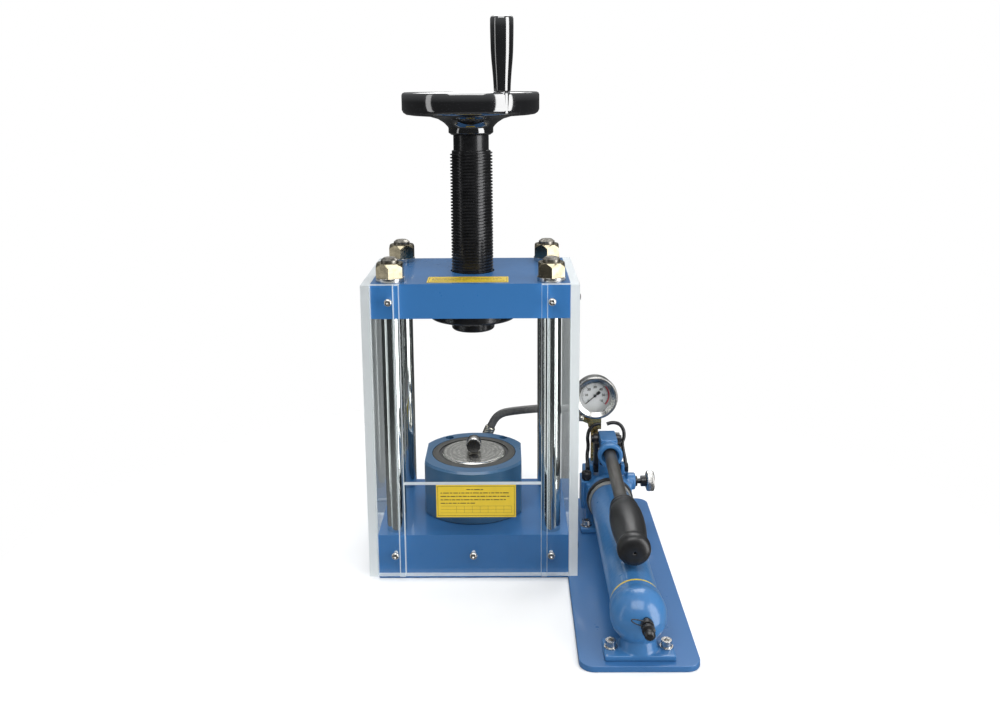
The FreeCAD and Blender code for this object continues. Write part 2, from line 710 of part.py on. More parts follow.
def pump_bolt_places():
    """The front pair holds the cap's foot, the rear pair the pump head's ears."""
    front = [("pump_x - 34", "foot_front + 20"), ("pump_x + 34", "foot_front + 20")]
    rear = [("pump_x - 37", 33), ("pump_x + 37", 33)]
    return front, rear


def pump_bolt_holes(which):
    chosen = pump_bolt_places()[0] if which < 0 else pump_bolt_places()[1]
    return [rod(x, y, "mount_thick", 4.2, 20) for x, y in chosen]


def make_pump_bolts():
    """Cap screws with washers."""
    bolts = []
    front, rear = pump_bolt_places()
    for (x, y), thick in [(p, 0) for p in front] + [(p, 1) for p in rear]:
        base = "mount_thick + foot_thick + %d" % thick
        washer = rod(x, y, base, 8.5, 1.6)
        head = rod(x, y, base + " + 1.6", 6.5, 8)
        socket = hexagon(x, y, base + " + 5.6", "6", 4)
        shank = rod(x, y, "mount_thick", 4, "foot_thick + %d + 2" % thick)
        bolts.append(cut(fused(washer, head, shank), socket))
    keep("pump_bolts", grouped(*bolts))


def make_pump_head():
    """Casting with the tank seat in front, plunger barrel on top and the valve boss on the right."""
    x, height = "pump_x", "tank_height"
    block = box("pump_x - 36", 52, "mount_thick", 72, 86, 68)
    saddle = rod(x, 44, height, "tank_radius + 5", 14, ALONG_Y)
    ears = box("pump_x - 46", 22, "mount_thick", 92, 36, "foot_thick + 1")
    shoulder = box("pump_x - 43", 62, "mount_thick + 22", 20, 38, 46)
    barrel = rod(x, "plunger_y", 70, 14, 30)
    boss = rod("pump_x + 30", "valve_y", "valve_height", 13.5, 14, ALONG_X)
    lugs = [box("pump_x + %d" % offset, 84, 72, 6, 16, 23) for offset in (-28, 22)]
    post = rod("gauge_x", "tee_y", 72, 11, 14)
    plunger_bore = rod(x, "plunger_y", 58, "plunger_radius + 0.06", 60)
    gland_bore = rod(x, "plunger_y", 90, 10.05, 12)
    valve_bore = rod("pump_x + 18", "valve_y", "valve_height", 4.05, 40, ALONG_X)
    post_bore = rod("gauge_x", "tee_y", 76, 6.1, 20)
    plug_bore = rod("pump_x - 34", 72, 66, 5.1, 20)
    pin_bores = [rod("pump_x + %d" % offset, 92, 87, 4.1, 8, ALONG_X) for offset in (-29, 21)]
    whole = fused(block, saddle, ears, shoulder, barrel, boss, *lugs, post)
    keep("pump_head", cut(whole, plunger_bore, gland_bore, valve_bore, post_bore, plug_bore,
                          *pin_bores, *pump_bolt_holes(1)))


def make_plunger():
    """Plunger with a slotted crosshead that the rocker's pin works in."""
    x, y = "pump_x", "plunger_y"
    stem = rod(x, y, 60, "plunger_radius", 56)
    head = box("pump_x - crosshead_wide / 2", "plunger_y - 10", 114, "crosshead_wide", 23.5, 18)
    slot = box("pump_x - 10", "plunger_y - 5.3", 118.3, 20, 14.4, 9.4)
    keep("plunger", cut(fused(stem, head), slot))
    nut = hexagon(x, y, 100, "26", 8)
    sleeve = rod(x, y, 90.2, 10, 10)
    keep("gland_nut", cut(fused(nut, sleeve), rod(x, y, 88, "plunger_radius + 0.06", 22)))


def make_links():
    """Two black links that carry the rocker's fulcrum pin above the head's lugs."""
    links = []
    for x in ("pump_x - 21", "pump_x + 14"):
        bar = box(x, 84, 87, 7, 16, 44)
        upper = rod(x, "pivot_y", "pivot_height", 10, 7, ALONG_X)
        lower = rod(x, 92, 87, 8, 7, ALONG_X)
        web = box(x, 92, 118, 7, 12, 13)
        link = cut(fused(bar, upper, lower, web),
                   rod(x + " - 1", "pivot_y", "pivot_height", 6.05, 9, ALONG_X),
                   rod(x + " - 1", 92, 87, 4.1, 9, ALONG_X))
        links.append(link)
    keep("fulcrum_links", grouped(*links))
    bolts = [rod("pump_x - 24", "pivot_y", "pivot_height", 6, 48, ALONG_X)]
    for start, head_at in (("pump_x - 34", "pump_x - 34"), ("pump_x + 14", "pump_x + 28")):
        shank = rod(start, 92, 87, 4, 20, ALONG_X)
        head = hexagon(head_at, 92, 87, "14", 6, ALONG_X)
        bolts.append(fused(shank, head))
    keep("link_pins", grouped(*bolts))


def lever_line():
    """Socket mouth and the direction the lever runs in, towards the front and slightly down."""
    tilt = math.radians(SIZES["lever_tilt"])
    return Vector(SIZES["pump_x"], 62, 127.8), Vector(0, -math.cos(tilt), -math.sin(tilt))


def make_lever():
    """Forked rocker with its lever socket, the plunger pin, the lever tube and its grip."""
    start, direction = lever_line()
    socket = turned([
        (0, -3), (13, -3), ("socket_radius - 2", 6), ("socket_radius", 14), ("socket_radius", 20),
        ("socket_radius - 1.5", 22), (13, 22), (13, 17), ("lever_radius + 0.03", 14),
        ("lever_radius + 0.03", 1), (0, 1),
    ])
    along(start, direction, socket)
    half = "(rocker_wide / 2)"
    beam = box("pump_x - " + half, "rocker_front", "pivot_height - 12", "rocker_wide",
               "pivot_y - rocker_front", 26)
    heel = rod("pump_x - " + half, "pivot_y", "pivot_height", 12, "rocker_wide", ALONG_X)
    slot = box("pump_x - slot_wide / 2", 64, "pivot_height - 20", "slot_wide", 54, 30.6)
    pivot = rod("pump_x - 20", "pivot_y", "pivot_height", 6.05, 40, ALONG_X)
    pin_bore = rod("pump_x - 20", "plunger_y", "pivot_height - 8", 3.5, 40, ALONG_X)
    keep("rocker", cut(fused(beam, heel, socket), slot, pivot, pin_bore))
    keep("plunger_pin", rod("pump_x - 13", "plunger_y", "pivot_height - 8", 3.48, 26, ALONG_X))
    tube = turned([(6.5, 1.2), ("lever_radius", 1.2), ("lever_radius", "lever_long + 34"),
                   (6.5, "lever_long + 34")])
    keep("lever_tube", along(start, direction, tube))
    grip_start = "(lever_long + 45 - grip_long)"
    grip = turned([
        ("lever_radius + 0.03", grip_start), (14, grip_start), (17.5, grip_start + " + 3"),
        (20.5, grip_start + " + 14"), (22, grip_start + " + 35"), (22, grip_start + " + 68"),
        (21, grip_start + " + 84"), (18.6, grip_start + " + 99"),
        ("grip_end_radius - 1", grip_start + " + 103"),
        ("grip_end_radius", grip_start + " + 109"), ("grip_end_radius - 2", grip_start + " + 117"),
        (14, grip_start + " + 121"), (2, grip_start + " + 122"), (2, grip_start + " + 112"),
        ("lever_radius + 0.03", grip_start + " + 112"),
    ])
    keep("lever_grip", along(start, direction, grip))


def make_release_valve():
    y, z = "valve_y", "valve_height"
    stem = turned([
        (0, 0), (4, 0), (4, 24), (8.2, 24), (8.2, 27), (4, 27), (4, 33), (8.5, 33), (8.5, 41),
        (5, 41), (5, 52), (0, 52),
    ], "pump_x + 20.2", y, z, ALONG_X)
    keep("release_stem", stem)
    knob = turned([
        (5.03, 0), ("valve_knob_radius - 3", 0), ("valve_knob_radius", 1.5),
        ("valve_knob_radius", 11.5), ("valve_knob_radius - 1.5", 13), (0, 13), (0, 11.2),
        (5.03, 11.2),
    ], "pump_x + 61.3", y, z, ALONG_X)
    keep("release_knob", knob)
    plug = turned([(0, 0), (5, 0), (5, 10.1), (8, 10.1), (8, 19), (6.5, 21), (3, 21), (3, 19),
                   (0, 19)], "pump_x - 34", 72, 68)
    keep("relief_plug", plug)


def make_vent_plug():
    """Breather plug on the front of the tank: hexagon, neck and a round turning knob."""
    plug = turned([
        (0, 0), (5, 0), (5, 17), (8, 17), (8, 24), (4, 25), (4, 27), (8, 28), (8, 33),
        (4, 34.5), (6.5, 38), (6.5, 42), (4, 45), (0, 45.5),
    ], "pump_x + 5", "ball_y - 20", "tank_height + 8", TOWARDS_FRONT)
    keep("vent_plug", plug)


# ---------------------------------------------------------------- gauge

def make_tee():
    """Brass tee on a steel post, feeding the gauge above and the hose at the side."""
    x, y = "gauge_x", "tee_y"
    post = rod(x, y, 76.2, 6, 70)
    block = box("gauge_x - 10", "tee_y - 10", "tee_height - 10", 20, 20, 18)
    tip, away = Vector(*HOSE_ROUTE[-1]), line_direction(HOSE_ROUTE[-2], HOSE_ROUTE[-1])
    port = along(tip + away * size("ferrule_long"), away, add("Part::Cylinder", Radius=6, Height=14))
    keep("gauge_tee", fused(post, block, port))


def make_gauge():
    """Round pressure gauge facing the front: case, bezel, glass, dial and pointer."""
    x, z, front = "gauge_x", "gauge_height", "gauge_front"
    case = turned([
        (0, 0), ("gauge_case_radius - 4", 0), ("gauge_case_radius", 4), ("gauge_case_radius", 24),
        ("gauge_case_radius - 2", 24), ("gauge_case_radius - 2", 6), (0, 6),
    ], x, front + " + gauge_depth", z, TOWARDS_FRONT)
    stem = rod(x, "tee_y", "tee_height + 8", 6, 5)
    keep("gauge_case", fused(case, stem))
    bezel = turned([
        ("gauge_radius - 3", 0), ("gauge_radius", 0), ("gauge_radius", 6), ("gauge_radius - 1.5", 7.5),
        ("gauge_radius - 4", 7.5), ("gauge_radius - 10.5", 3), ("gauge_radius - 10.5", 1.5),
        ("gauge_radius - 3", 1.5),
    ], x, front + " + 7.5", z, TOWARDS_FRONT)
    keep("gauge_bezel", bezel)
    keep("gauge_glass", rod(x, front + " + 8.5", z, "gauge_case_radius - 2.2", 2, TOWARDS_FRONT))
    keep("gauge_dial", rod(x, front + " + 17", z, "gauge_case_radius - 2.2", 1.2, TOWARDS_FRONT))
    make_pointer()


def make_pointer():
    """Tapered pointer with a short wide tail, at rest against the lower left stop."""
    blade = box(-20, -0.6, 0, 26, 1.2, 0.8)
    tail = box(4, -2.4, 0, 6.5, 4.8, 0.8)
    hub = rod(0, 0, -1.5, 2.2, 3)
    needle = fused(blade, tail, hub)
    turn = TOWARDS_FRONT.multiply(Rotation(Vector(0, 0, 1), 42))
    place(needle, "gauge_x", "gauge_front + 13.6", "gauge_height", turn)
    keep("gauge_pointer", needle)


def check_and_export():
    """Refuse any failed or invalid object, then write one file for each sub-part."""
    doc.recompute()
    for item in doc.Objects:
        if "Invalid" in item.State or "Error" in item.State:
            raise RuntimeError("%s (%s) failed: %s" % (item.Label, item.Name, item.State))
    for item in parts:
        if item.Shape.isNull() or not item.Shape.isValid():
            raise RuntimeError("%s has no valid shape" % item.Label)
    os.makedirs("parts", exist_ok=True)
    for item in parts:
        item.Shape.exportStep("parts/%s.step" % item.Label)
        print("%-22s %2d solids %12.0f mm3" % (item.Label, len(item.Shape.Solids), item.Shape.Volume))
    print(len(parts), "sub-parts")


make_mounting_plate()
make_base_block()
make_top_plate()
make_columns()
make_column_nuts()
make_lock_washers()
make_lead_nut()
make_lead_screw()
make_press_foot()
make_handwheel()
make_handwheel_bolt()
make_handle()
make_side_shields()
make_front_shield()
make_shield_screws()
make_labels()
make_cylinder()
make_gland()
make_ram()
make_hose()
make_ferrules()
make_elbow()
make_tank()
make_end_cap()
make_pump_bolts()
make_pump_head()
make_plunger()
make_links()
make_lever()
make_release_valve()
make_vent_plug()
make_tee()
make_gauge()
check_and_export()
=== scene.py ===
import math

import bmesh
import bpy
from mathutils import Matrix, Vector


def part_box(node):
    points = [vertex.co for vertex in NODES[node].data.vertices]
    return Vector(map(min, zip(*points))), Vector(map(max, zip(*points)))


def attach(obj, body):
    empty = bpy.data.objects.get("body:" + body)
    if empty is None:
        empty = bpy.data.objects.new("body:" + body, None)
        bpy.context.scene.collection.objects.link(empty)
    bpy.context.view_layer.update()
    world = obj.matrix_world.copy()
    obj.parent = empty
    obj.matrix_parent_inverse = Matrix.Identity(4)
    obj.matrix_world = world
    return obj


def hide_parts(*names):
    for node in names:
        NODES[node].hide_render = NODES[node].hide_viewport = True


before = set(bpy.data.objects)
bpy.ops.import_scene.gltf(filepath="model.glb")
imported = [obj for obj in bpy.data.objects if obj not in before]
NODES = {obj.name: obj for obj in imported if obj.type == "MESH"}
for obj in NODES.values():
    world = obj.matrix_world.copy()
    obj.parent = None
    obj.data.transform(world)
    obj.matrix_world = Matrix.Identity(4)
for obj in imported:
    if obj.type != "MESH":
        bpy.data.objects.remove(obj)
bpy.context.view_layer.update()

MM = 0.001
FLOOR_RADIUS = 0.80
SHEET_GAP = 0.15 * MM
THREAD_PITCH = 4.5 * MM
LEVER_TILT = math.radians(2.6)
LEVER_MOUTH_Y, LEVER_MOUTH_Z = 62 * MM, 127.8 * MM
STRAP_RADIUS, CLIP_RADIUS = 2.9 * MM, 0.7 * MM
LABEL_THICK = 0.4 * MM
SCREW_REACH = 21 * MM
X_AXIS, Y_AXIS, Z_AXIS = Vector((1, 0, 0)), Vector((0, 1, 0)), Vector((0, 0, 1))


def middle(node):
    low, high = (Vector(corner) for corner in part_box(node))
    return (low + high) / 2


# ------------------------------------------------------------------ camera, floor and light

def make_camera():
    """The viewpoint: slightly above, a little to the right of the press."""
    data = bpy.data.cameras.new("camera")
    data.sensor_width = 36.0
    data.lens = 34.17
    data.shift_y = -0.085
    data.clip_end = 50
    camera = bpy.data.objects.new("camera", data)
    bpy.context.scene.collection.objects.link(camera)
    pitch, roll, yaw = math.radians(10.87), math.radians(-0.39), math.radians(0.42)
    turn = Matrix.Rotation(yaw, 4, "Z") @ Matrix.Rotation(math.pi / 2 - pitch, 4, "X")
    turn = turn @ Matrix.Rotation(roll, 4, "Z")
    camera.matrix_world = Matrix.Translation((0.0494, -1.3451, 0.6908)) @ turn
    bpy.context.scene.camera = camera


def softbox(name, place, target, size, watts):
    """A rectangular studio light that the camera doesn't see."""
    data = bpy.data.lights.new(name, "AREA")
    data.shape = "RECTANGLE"
    data.size, data.size_y = size
    data.energy = watts
    light = bpy.data.objects.new(name, data)
    light.location = place
    light.rotation_euler = (Vector(target) - Vector(place)).to_track_quat("-Z", "Y").to_euler()
    light.visible_camera = False
    bpy.context.scene.collection.objects.link(light)


def make_room():
    """A white backdrop behind the object, and a dim room, lighter overhead, around it."""
    world = bpy.data.worlds.new("studio")
    world.use_nodes = True
    tree = world.node_tree
    backdrop = tree.nodes["Background"]
    backdrop.inputs["Color"].default_value = (1, 1, 1, 1)
    room = tree.nodes.new("ShaderNodeBackground")
    room.inputs["Color"].default_value = (0.95, 0.98, 1, 1)
    split = tree.nodes.new("ShaderNodeSeparateXYZ")
    tree.links.new(tree.nodes.new("ShaderNodeTexCoord").outputs["Generated"], split.inputs["Vector"])
    tree.links.new(ranged(tree, split.outputs["Z"], 0.05, 0.6, 0.0, 0.8), room.inputs["Strength"])
    mix = tree.nodes.new("ShaderNodeMixShader")
    tree.links.new(tree.nodes.new("ShaderNodeLightPath").outputs["Is Camera Ray"], mix.inputs[0])
    tree.links.new(room.outputs["Background"], mix.inputs[1])
    tree.links.new(backdrop.outputs["Background"], mix.inputs[2])
    tree.links.new(mix.outputs["Shader"], tree.nodes["World Output"].inputs["Surface"])
    bpy.context.scene.world = world
    bpy.context.scene.view_settings.view_transform = "Standard"


def make_floor():
    """A round pale table top, faint in reflections, whose edge fades into the backdrop."""
    material, tree, shader = new_material("floor_pale")
    tone = mixed(tree, noise(tree, 3, 4), (0.90, 0.90, 0.90), (0.94, 0.94, 0.94))
    tree.links.new(tone, shader.inputs["Base Color"])
    shader.inputs["Roughness"].default_value = 0.85
    shader.inputs["Specular IOR Level"].default_value = 0.1
    distance = tree.nodes.new("ShaderNodeVectorMath")
    distance.operation = "LENGTH"
    tree.links.new(place_coords(tree), distance.inputs[0])
    fade = ranged(tree, distance.outputs["Value"], 1, 0, 0.45, FLOOR_RADIUS - 0.02)
    seen = ranged(tree, tree.nodes.new("ShaderNodeLightPath").outputs["Is Glossy Ray"], 1, 0.12, 0, 1)
    alpha = tree.nodes.new("ShaderNodeMath")
    alpha.operation = "MULTIPLY"
    tree.links.new(fade, alpha.inputs[0])
    tree.links.new(seen, alpha.inputs[1])
    tree.links.new(alpha.outputs["Value"], shader.inputs["Alpha"])
    bm = bmesh.new()
    bmesh.ops.create_circle(bm, cap_ends=True, segments=128, radius=FLOOR_RADIUS)
    mesh = bpy.data.meshes.new("floor")
    bm.to_mesh(mesh)
    bm.free()
    floor = bpy.data.objects.new("floor", mesh)
    floor.location = (0.06, -0.08, -0.0002)
    bpy.context.scene.collection.objects.link(floor)
    floor.data.materials.append(material)


def make_studio():
    make_room()
    make_floor()
    target = (0.05, -0.05, 0.3)
    softbox("overhead_front", (-0.1, -1.3, 2.1), target, (2.0, 1.4), 32)
    softbox("window_right", (1.7, -1.05, 0.5), (0, 0, 0.45), (1.1, 2.7), 46)
    softbox("window_left", (-1.9, -0.7, 0.5), (0, 0, 0.45), (0.35, 2.4), 4)
    softbox("overhead_back", (0.2, 1.2, 1.8), target, (1.6, 1.0), 22)


# ------------------------------------------------------------------ materials

def new_material(name):
    material = bpy.data.materials.new(name)
    material.use_nodes = True
    tree = material.node_tree
    return material, tree, tree.nodes["Principled BSDF"]


def place_coords(tree):
    return tree.nodes.new("ShaderNodeTexCoord").outputs["Object"]


def noise(tree, scale, detail=4.0, stretch=(1, 1, 1)):
    """Noise in object space, in features per metre."""
    mapping = tree.nodes.new("ShaderNodeMapping")
    mapping.inputs["Scale"].default_value = stretch
    tree.links.new(place_coords(tree), mapping.inputs["Vector"])
    node = tree.nodes.new("ShaderNodeTexNoise")
    node.inputs["Scale"].default_value = scale
    node.inputs["Detail"].default_value = detail
    tree.links.new(mapping.outputs["Vector"], node.inputs["Vector"])
    return node.outputs["Fac"]


def ranged(tree, value, low, high, from_low=0.3, from_high=0.7):
    node = tree.nodes.new("ShaderNodeMapRange")
    node.inputs["From Min"].default_value = from_low
    node.inputs["From Max"].default_value = from_high
    node.inputs["To Min"].default_value = low
    node.inputs["To Max"].default_value = high
    tree.links.new(value, node.inputs["Value"])
    return node.outputs["Result"]


def mixed(tree, factor, first, second):
    """Mix two colours, each a tuple or another node's output."""
    node = tree.nodes.new("ShaderNodeMix")
    node.data_type = "RGBA"
    tree.links.new(factor, node.inputs["Factor"])
    for socket, value in ((node.inputs["A"], first), (node.inputs["B"], second)):
        if isinstance(value, tuple):
            socket.default_value = (*value, 1)
        else:
            tree.links.new(value, socket)
    return node.outputs["Result"]


def add_bump(tree, shader, height, distance, strength=1.0):
    """Add relief of a height in metres; several calls stack."""
    node = tree.nodes.new("ShaderNodeBump")
    node.inputs["Distance"].default_value = distance
    node.inputs["Strength"].default_value = strength
    tree.links.new(height, node.inputs["Height"])
    for link in shader.inputs["Normal"].links:
        tree.links.new(link.from_socket, node.inputs["Normal"])
    tree.links.new(node.outputs["Normal"], shader.inputs["Normal"])


def shaded(colour, amount):
    return tuple(max(0.0, min(1.0, c * amount)) for c in colour)


def finish(name, colour, rough, metal=0.0, coat=0.0, mottle=0.1, mottle_scale=30, grain=0.0,
           grain_scale=900, rough_vary=0.08, stretch=(1, 1, 1), ior=1.5):
    """A surface with colour variation, uneven gloss and fine relief."""
    material, tree, shader = new_material(name)
    broad = noise(tree, mottle_scale, 5, stretch)
    colours = mixed(tree, ranged(tree, broad, 0, 1), shaded(colour, 1 - mottle),
                    shaded(colour, 1 + mottle))
    tree.links.new(colours, shader.inputs["Base Color"])
    fine = noise(tree, grain_scale, 2, stretch)
    uneven = ranged(tree, noise(tree, mottle_scale * 4, 4, stretch), rough - rough_vary / 2,
                    rough + rough_vary / 2)
    tree.links.new(uneven, shader.inputs["Roughness"])
    shader.inputs["Metallic"].default_value = metal
    shader.inputs["IOR"].default_value = ior
    if coat:
        shader.inputs["Coat Weight"].default_value = coat
        shader.inputs["Coat Roughness"].default_value = 0.06
        shader.inputs["Coat IOR"].default_value = ior
    if grain:
        add_bump(tree, shader, fine, grain * MM)
    return material


def enamel(name, colour, cast=0.0):
    """Sprayed blue enamel: orange-peel relief, faint dust, and sandy relief on a casting."""
    material, tree, shader = new_material(name)
    broad = ranged(tree, noise(tree, 9, 2), 0, 1, 0.15, 0.85)
    speck = ranged(tree, noise(tree, 900, 2), 0, 1, 0.3, 0.8)
    base = mixed(tree, broad, shaded(colour, 0.95), shaded(colour, 1.06))
    dust = mixed(tree, speck, base, shaded(colour, 1.05))
    tree.links.new(dust, shader.inputs["Base Color"])
    tree.links.new(ranged(tree, noise(tree, 60, 2), 0.26, 0.33, 0.1, 0.9), shader.inputs["Roughness"])
    shader.inputs["Specular IOR Level"].default_value = 0.35
    shader.inputs["Coat Weight"].default_value = 0.45
    shader.inputs["Coat Roughness"].default_value = 0.08
    add_bump(tree, shader, noise(tree, 380, 3), 0.06 * MM)
    if cast:
        add_bump(tree, shader, noise(tree, 150, 4), cast * MM)
    return material


def turned_metal(name, colour, centre, rough=0.22, rings=900, depth=0.03):
    """Metal faced on a lathe: fine concentric grooves about a vertical axis."""
    material, tree, shader = new_material(name)
    mapping = tree.nodes.new("ShaderNodeMapping")
    mapping.vector_type = "POINT"
    mapping.inputs["Location"].default_value = (-centre[0], -centre[1], 0)
    tree.links.new(place_coords(tree), mapping.inputs["Vector"])
    waves = []
    for scale, distortion in ((rings, 0.6), (rings / 3, 4.0)):
        wave = tree.nodes.new("ShaderNodeTexWave")
        wave.wave_type = "RINGS"
        wave.rings_direction = "Z"
        wave.inputs["Scale"].default_value = scale / (2 * math.pi)
        wave.inputs["Distortion"].default_value = distortion
        wave.inputs["Detail Scale"].default_value = 3.0
        tree.links.new(mapping.outputs["Vector"], wave.inputs["Vector"])
        waves.append(wave.outputs["Fac"])
    tint = mixed(tree, waves[1], shaded(colour, 0.9), shaded(colour, 1.05))
    smear = mixed(tree, ranged(tree, noise(tree, 90, 6), 0, 0.45), tint, shaded(colour, 0.6))
    tree.links.new(smear, shader.inputs["Base Color"])
    tree.links.new(ranged(tree, waves[1], rough - 0.03, rough + 0.05, 0, 1),
                   shader.inputs["Roughness"])
    shader.inputs["Metallic"].default_value = 1.0
    add_bump(tree, shader, waves[0], depth * MM)
    add_bump(tree, shader, waves[1], depth * MM)
    return material


def plated_column():
    """Hard chrome along the column, and dull bare steel on its studs, above the crown."""
    material, tree, shader = new_material("hard_chrome")
    split = tree.nodes.new("ShaderNodeSeparateXYZ")
    tree.links.new(place_coords(tree), split.inputs["Vector"])
    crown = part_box("top_plate")[1][2]
    stud = ranged(tree, split.outputs["Z"], 0, 1, crown - 1 * MM, crown + 1 * MM)
    streaks = ranged(tree, noise(tree, 30, 5, (1, 1, 0.08)), 0, 1)
    plated = mixed(tree, streaks, (0.60, 0.63, 0.62), (0.72, 0.75, 0.74))
    bare = mixed(tree, ranged(tree, noise(tree, 220, 6), 0, 1), (0.13, 0.12, 0.10), (0.40, 0.38, 0.34))
    tree.links.new(mixed(tree, stud, plated, bare), shader.inputs["Base Color"])
    uneven = tree.nodes.new("ShaderNodeMath")
    uneven.operation = "MULTIPLY_ADD"
    tree.links.new(stud, uneven.inputs[0])
    uneven.inputs[1].default_value = 0.3
    tree.links.new(ranged(tree, noise(tree, 24, 4), 0.05, 0.11), uneven.inputs[2])
    tree.links.new(uneven.outputs["Value"], shader.inputs["Roughness"])
    shader.inputs["Metallic"].default_value = 1.0
    add_bump(tree, shader, noise(tree, 2500, 2, (1, 1, 0.08)), 0.004 * MM)
    return material


def banded_metal(name, colour, pitch, rough=0.3, depth=0.2, axis="Z"):
    """Metal with grooves along one axis, such as a crimp or a thread, with painted shade in its grooves.
    """
    material, tree, shader = new_material(name)
    wave = tree.nodes.new("ShaderNodeTexWave")
    wave.wave_type = "BANDS"
    wave.bands_direction = axis
    wave.inputs["Scale"].default_value = 1 / (pitch * MM) / 3.1831
    tree.links.new(place_coords(tree), wave.inputs["Vector"])
    # painted shade: the colour darkens to 0.4 in the grooves, in step with the relief
    painted_groove_shade = ranged(tree, wave.outputs["Fac"], 0, 1, 0, 0.5)
    tree.links.new(mixed(tree, painted_groove_shade, shaded(colour, 0.4), colour), shader.inputs["Base Color"])
    tree.links.new(ranged(tree, noise(tree, 300, 4), rough - 0.06, rough + 0.1),
                   shader.inputs["Roughness"])
    shader.inputs["Metallic"].default_value = 1.0
    add_bump(tree, shader, wave.outputs["Fac"], depth * MM)
    return material


def clear_sheet(name, thin_axis):
    """Clear acrylic: clear through its faces, frosted where it was sawn to width."""
    material, tree, shader = new_material(name)
    shader.inputs["Base Color"].default_value = (0.74, 0.78, 0.79, 1)
    saw = noise(tree, 500, 3, (1, 1, 0.1))
    tree.links.new(ranged(tree, saw, 0.45, 0.7), shader.inputs["Roughness"])
    add_bump(tree, shader, saw, 0.06 * MM)
    shader.inputs["Transmission Weight"].default_value = 0.45
    gloss = tree.nodes.new("ShaderNodeBsdfGlossy")
    gloss.inputs["Color"].default_value = (1, 1, 1, 1)
    tree.links.new(ranged(tree, noise(tree, 35, 4), 0.01, 0.06), gloss.inputs["Roughness"])
    through = tree.nodes.new("ShaderNodeBsdfTransparent")
    haze = mixed(tree, ranged(tree, noise(tree, 14, 5), 0, 1), (0.982, 0.99, 0.989),
                 (0.993, 0.997, 0.996))
    tree.links.new(haze, through.inputs["Color"])
    fresnel = tree.nodes.new("ShaderNodeFresnel")
    fresnel.inputs["IOR"].default_value = 1.25
    face = tree.nodes.new("ShaderNodeMixShader")
    tree.links.new(fresnel.outputs["Fac"], face.inputs[0])
    tree.links.new(through.outputs["BSDF"], face.inputs[1])
    tree.links.new(gloss.outputs["BSDF"], face.inputs[2])
    separate = tree.nodes.new("ShaderNodeSeparateXYZ")
    tree.links.new(tree.nodes.new("ShaderNodeNewGeometry").outputs["True Normal"],
                   separate.inputs["Vector"])
    size = tree.nodes.new("ShaderNodeMath")
    size.operation = "ABSOLUTE"
    tree.links.new(separate.outputs[thin_axis], size.inputs[0])
    is_face = ranged(tree, size.outputs["Value"], 0, 1, 0.45, 0.55)
    whole = tree.nodes.new("ShaderNodeMixShader")
    tree.links.new(is_face, whole.inputs[0])
    tree.links.new(shader.outputs["BSDF"], whole.inputs[1])
    tree.links.new(face.outputs["Shader"], whole.inputs[2])
    tree.links.new(whole.outputs["Shader"], tree.nodes["Material Output"].inputs["Surface"])
    return material


def clear_lens(name):
    """Thin gauge glass."""
    material, tree, shader = new_material(name)
    shader.inputs["Base Color"].default_value = (0.97, 0.98, 0.98, 1)
    shader.inputs["Transmission Weight"].default_value = 1.0
    shader.inputs["IOR"].default_value = 1.05
    tree.links.new(ranged(tree, noise(tree, 60, 3), 0.0, 0.03), shader.inputs["Roughness"])
    return material


BLUE = (0.034, 0.140, 0.345)
STEEL = (0.62, 0.61, 0.59)
BLACK = (0.012, 0.012, 0.013)


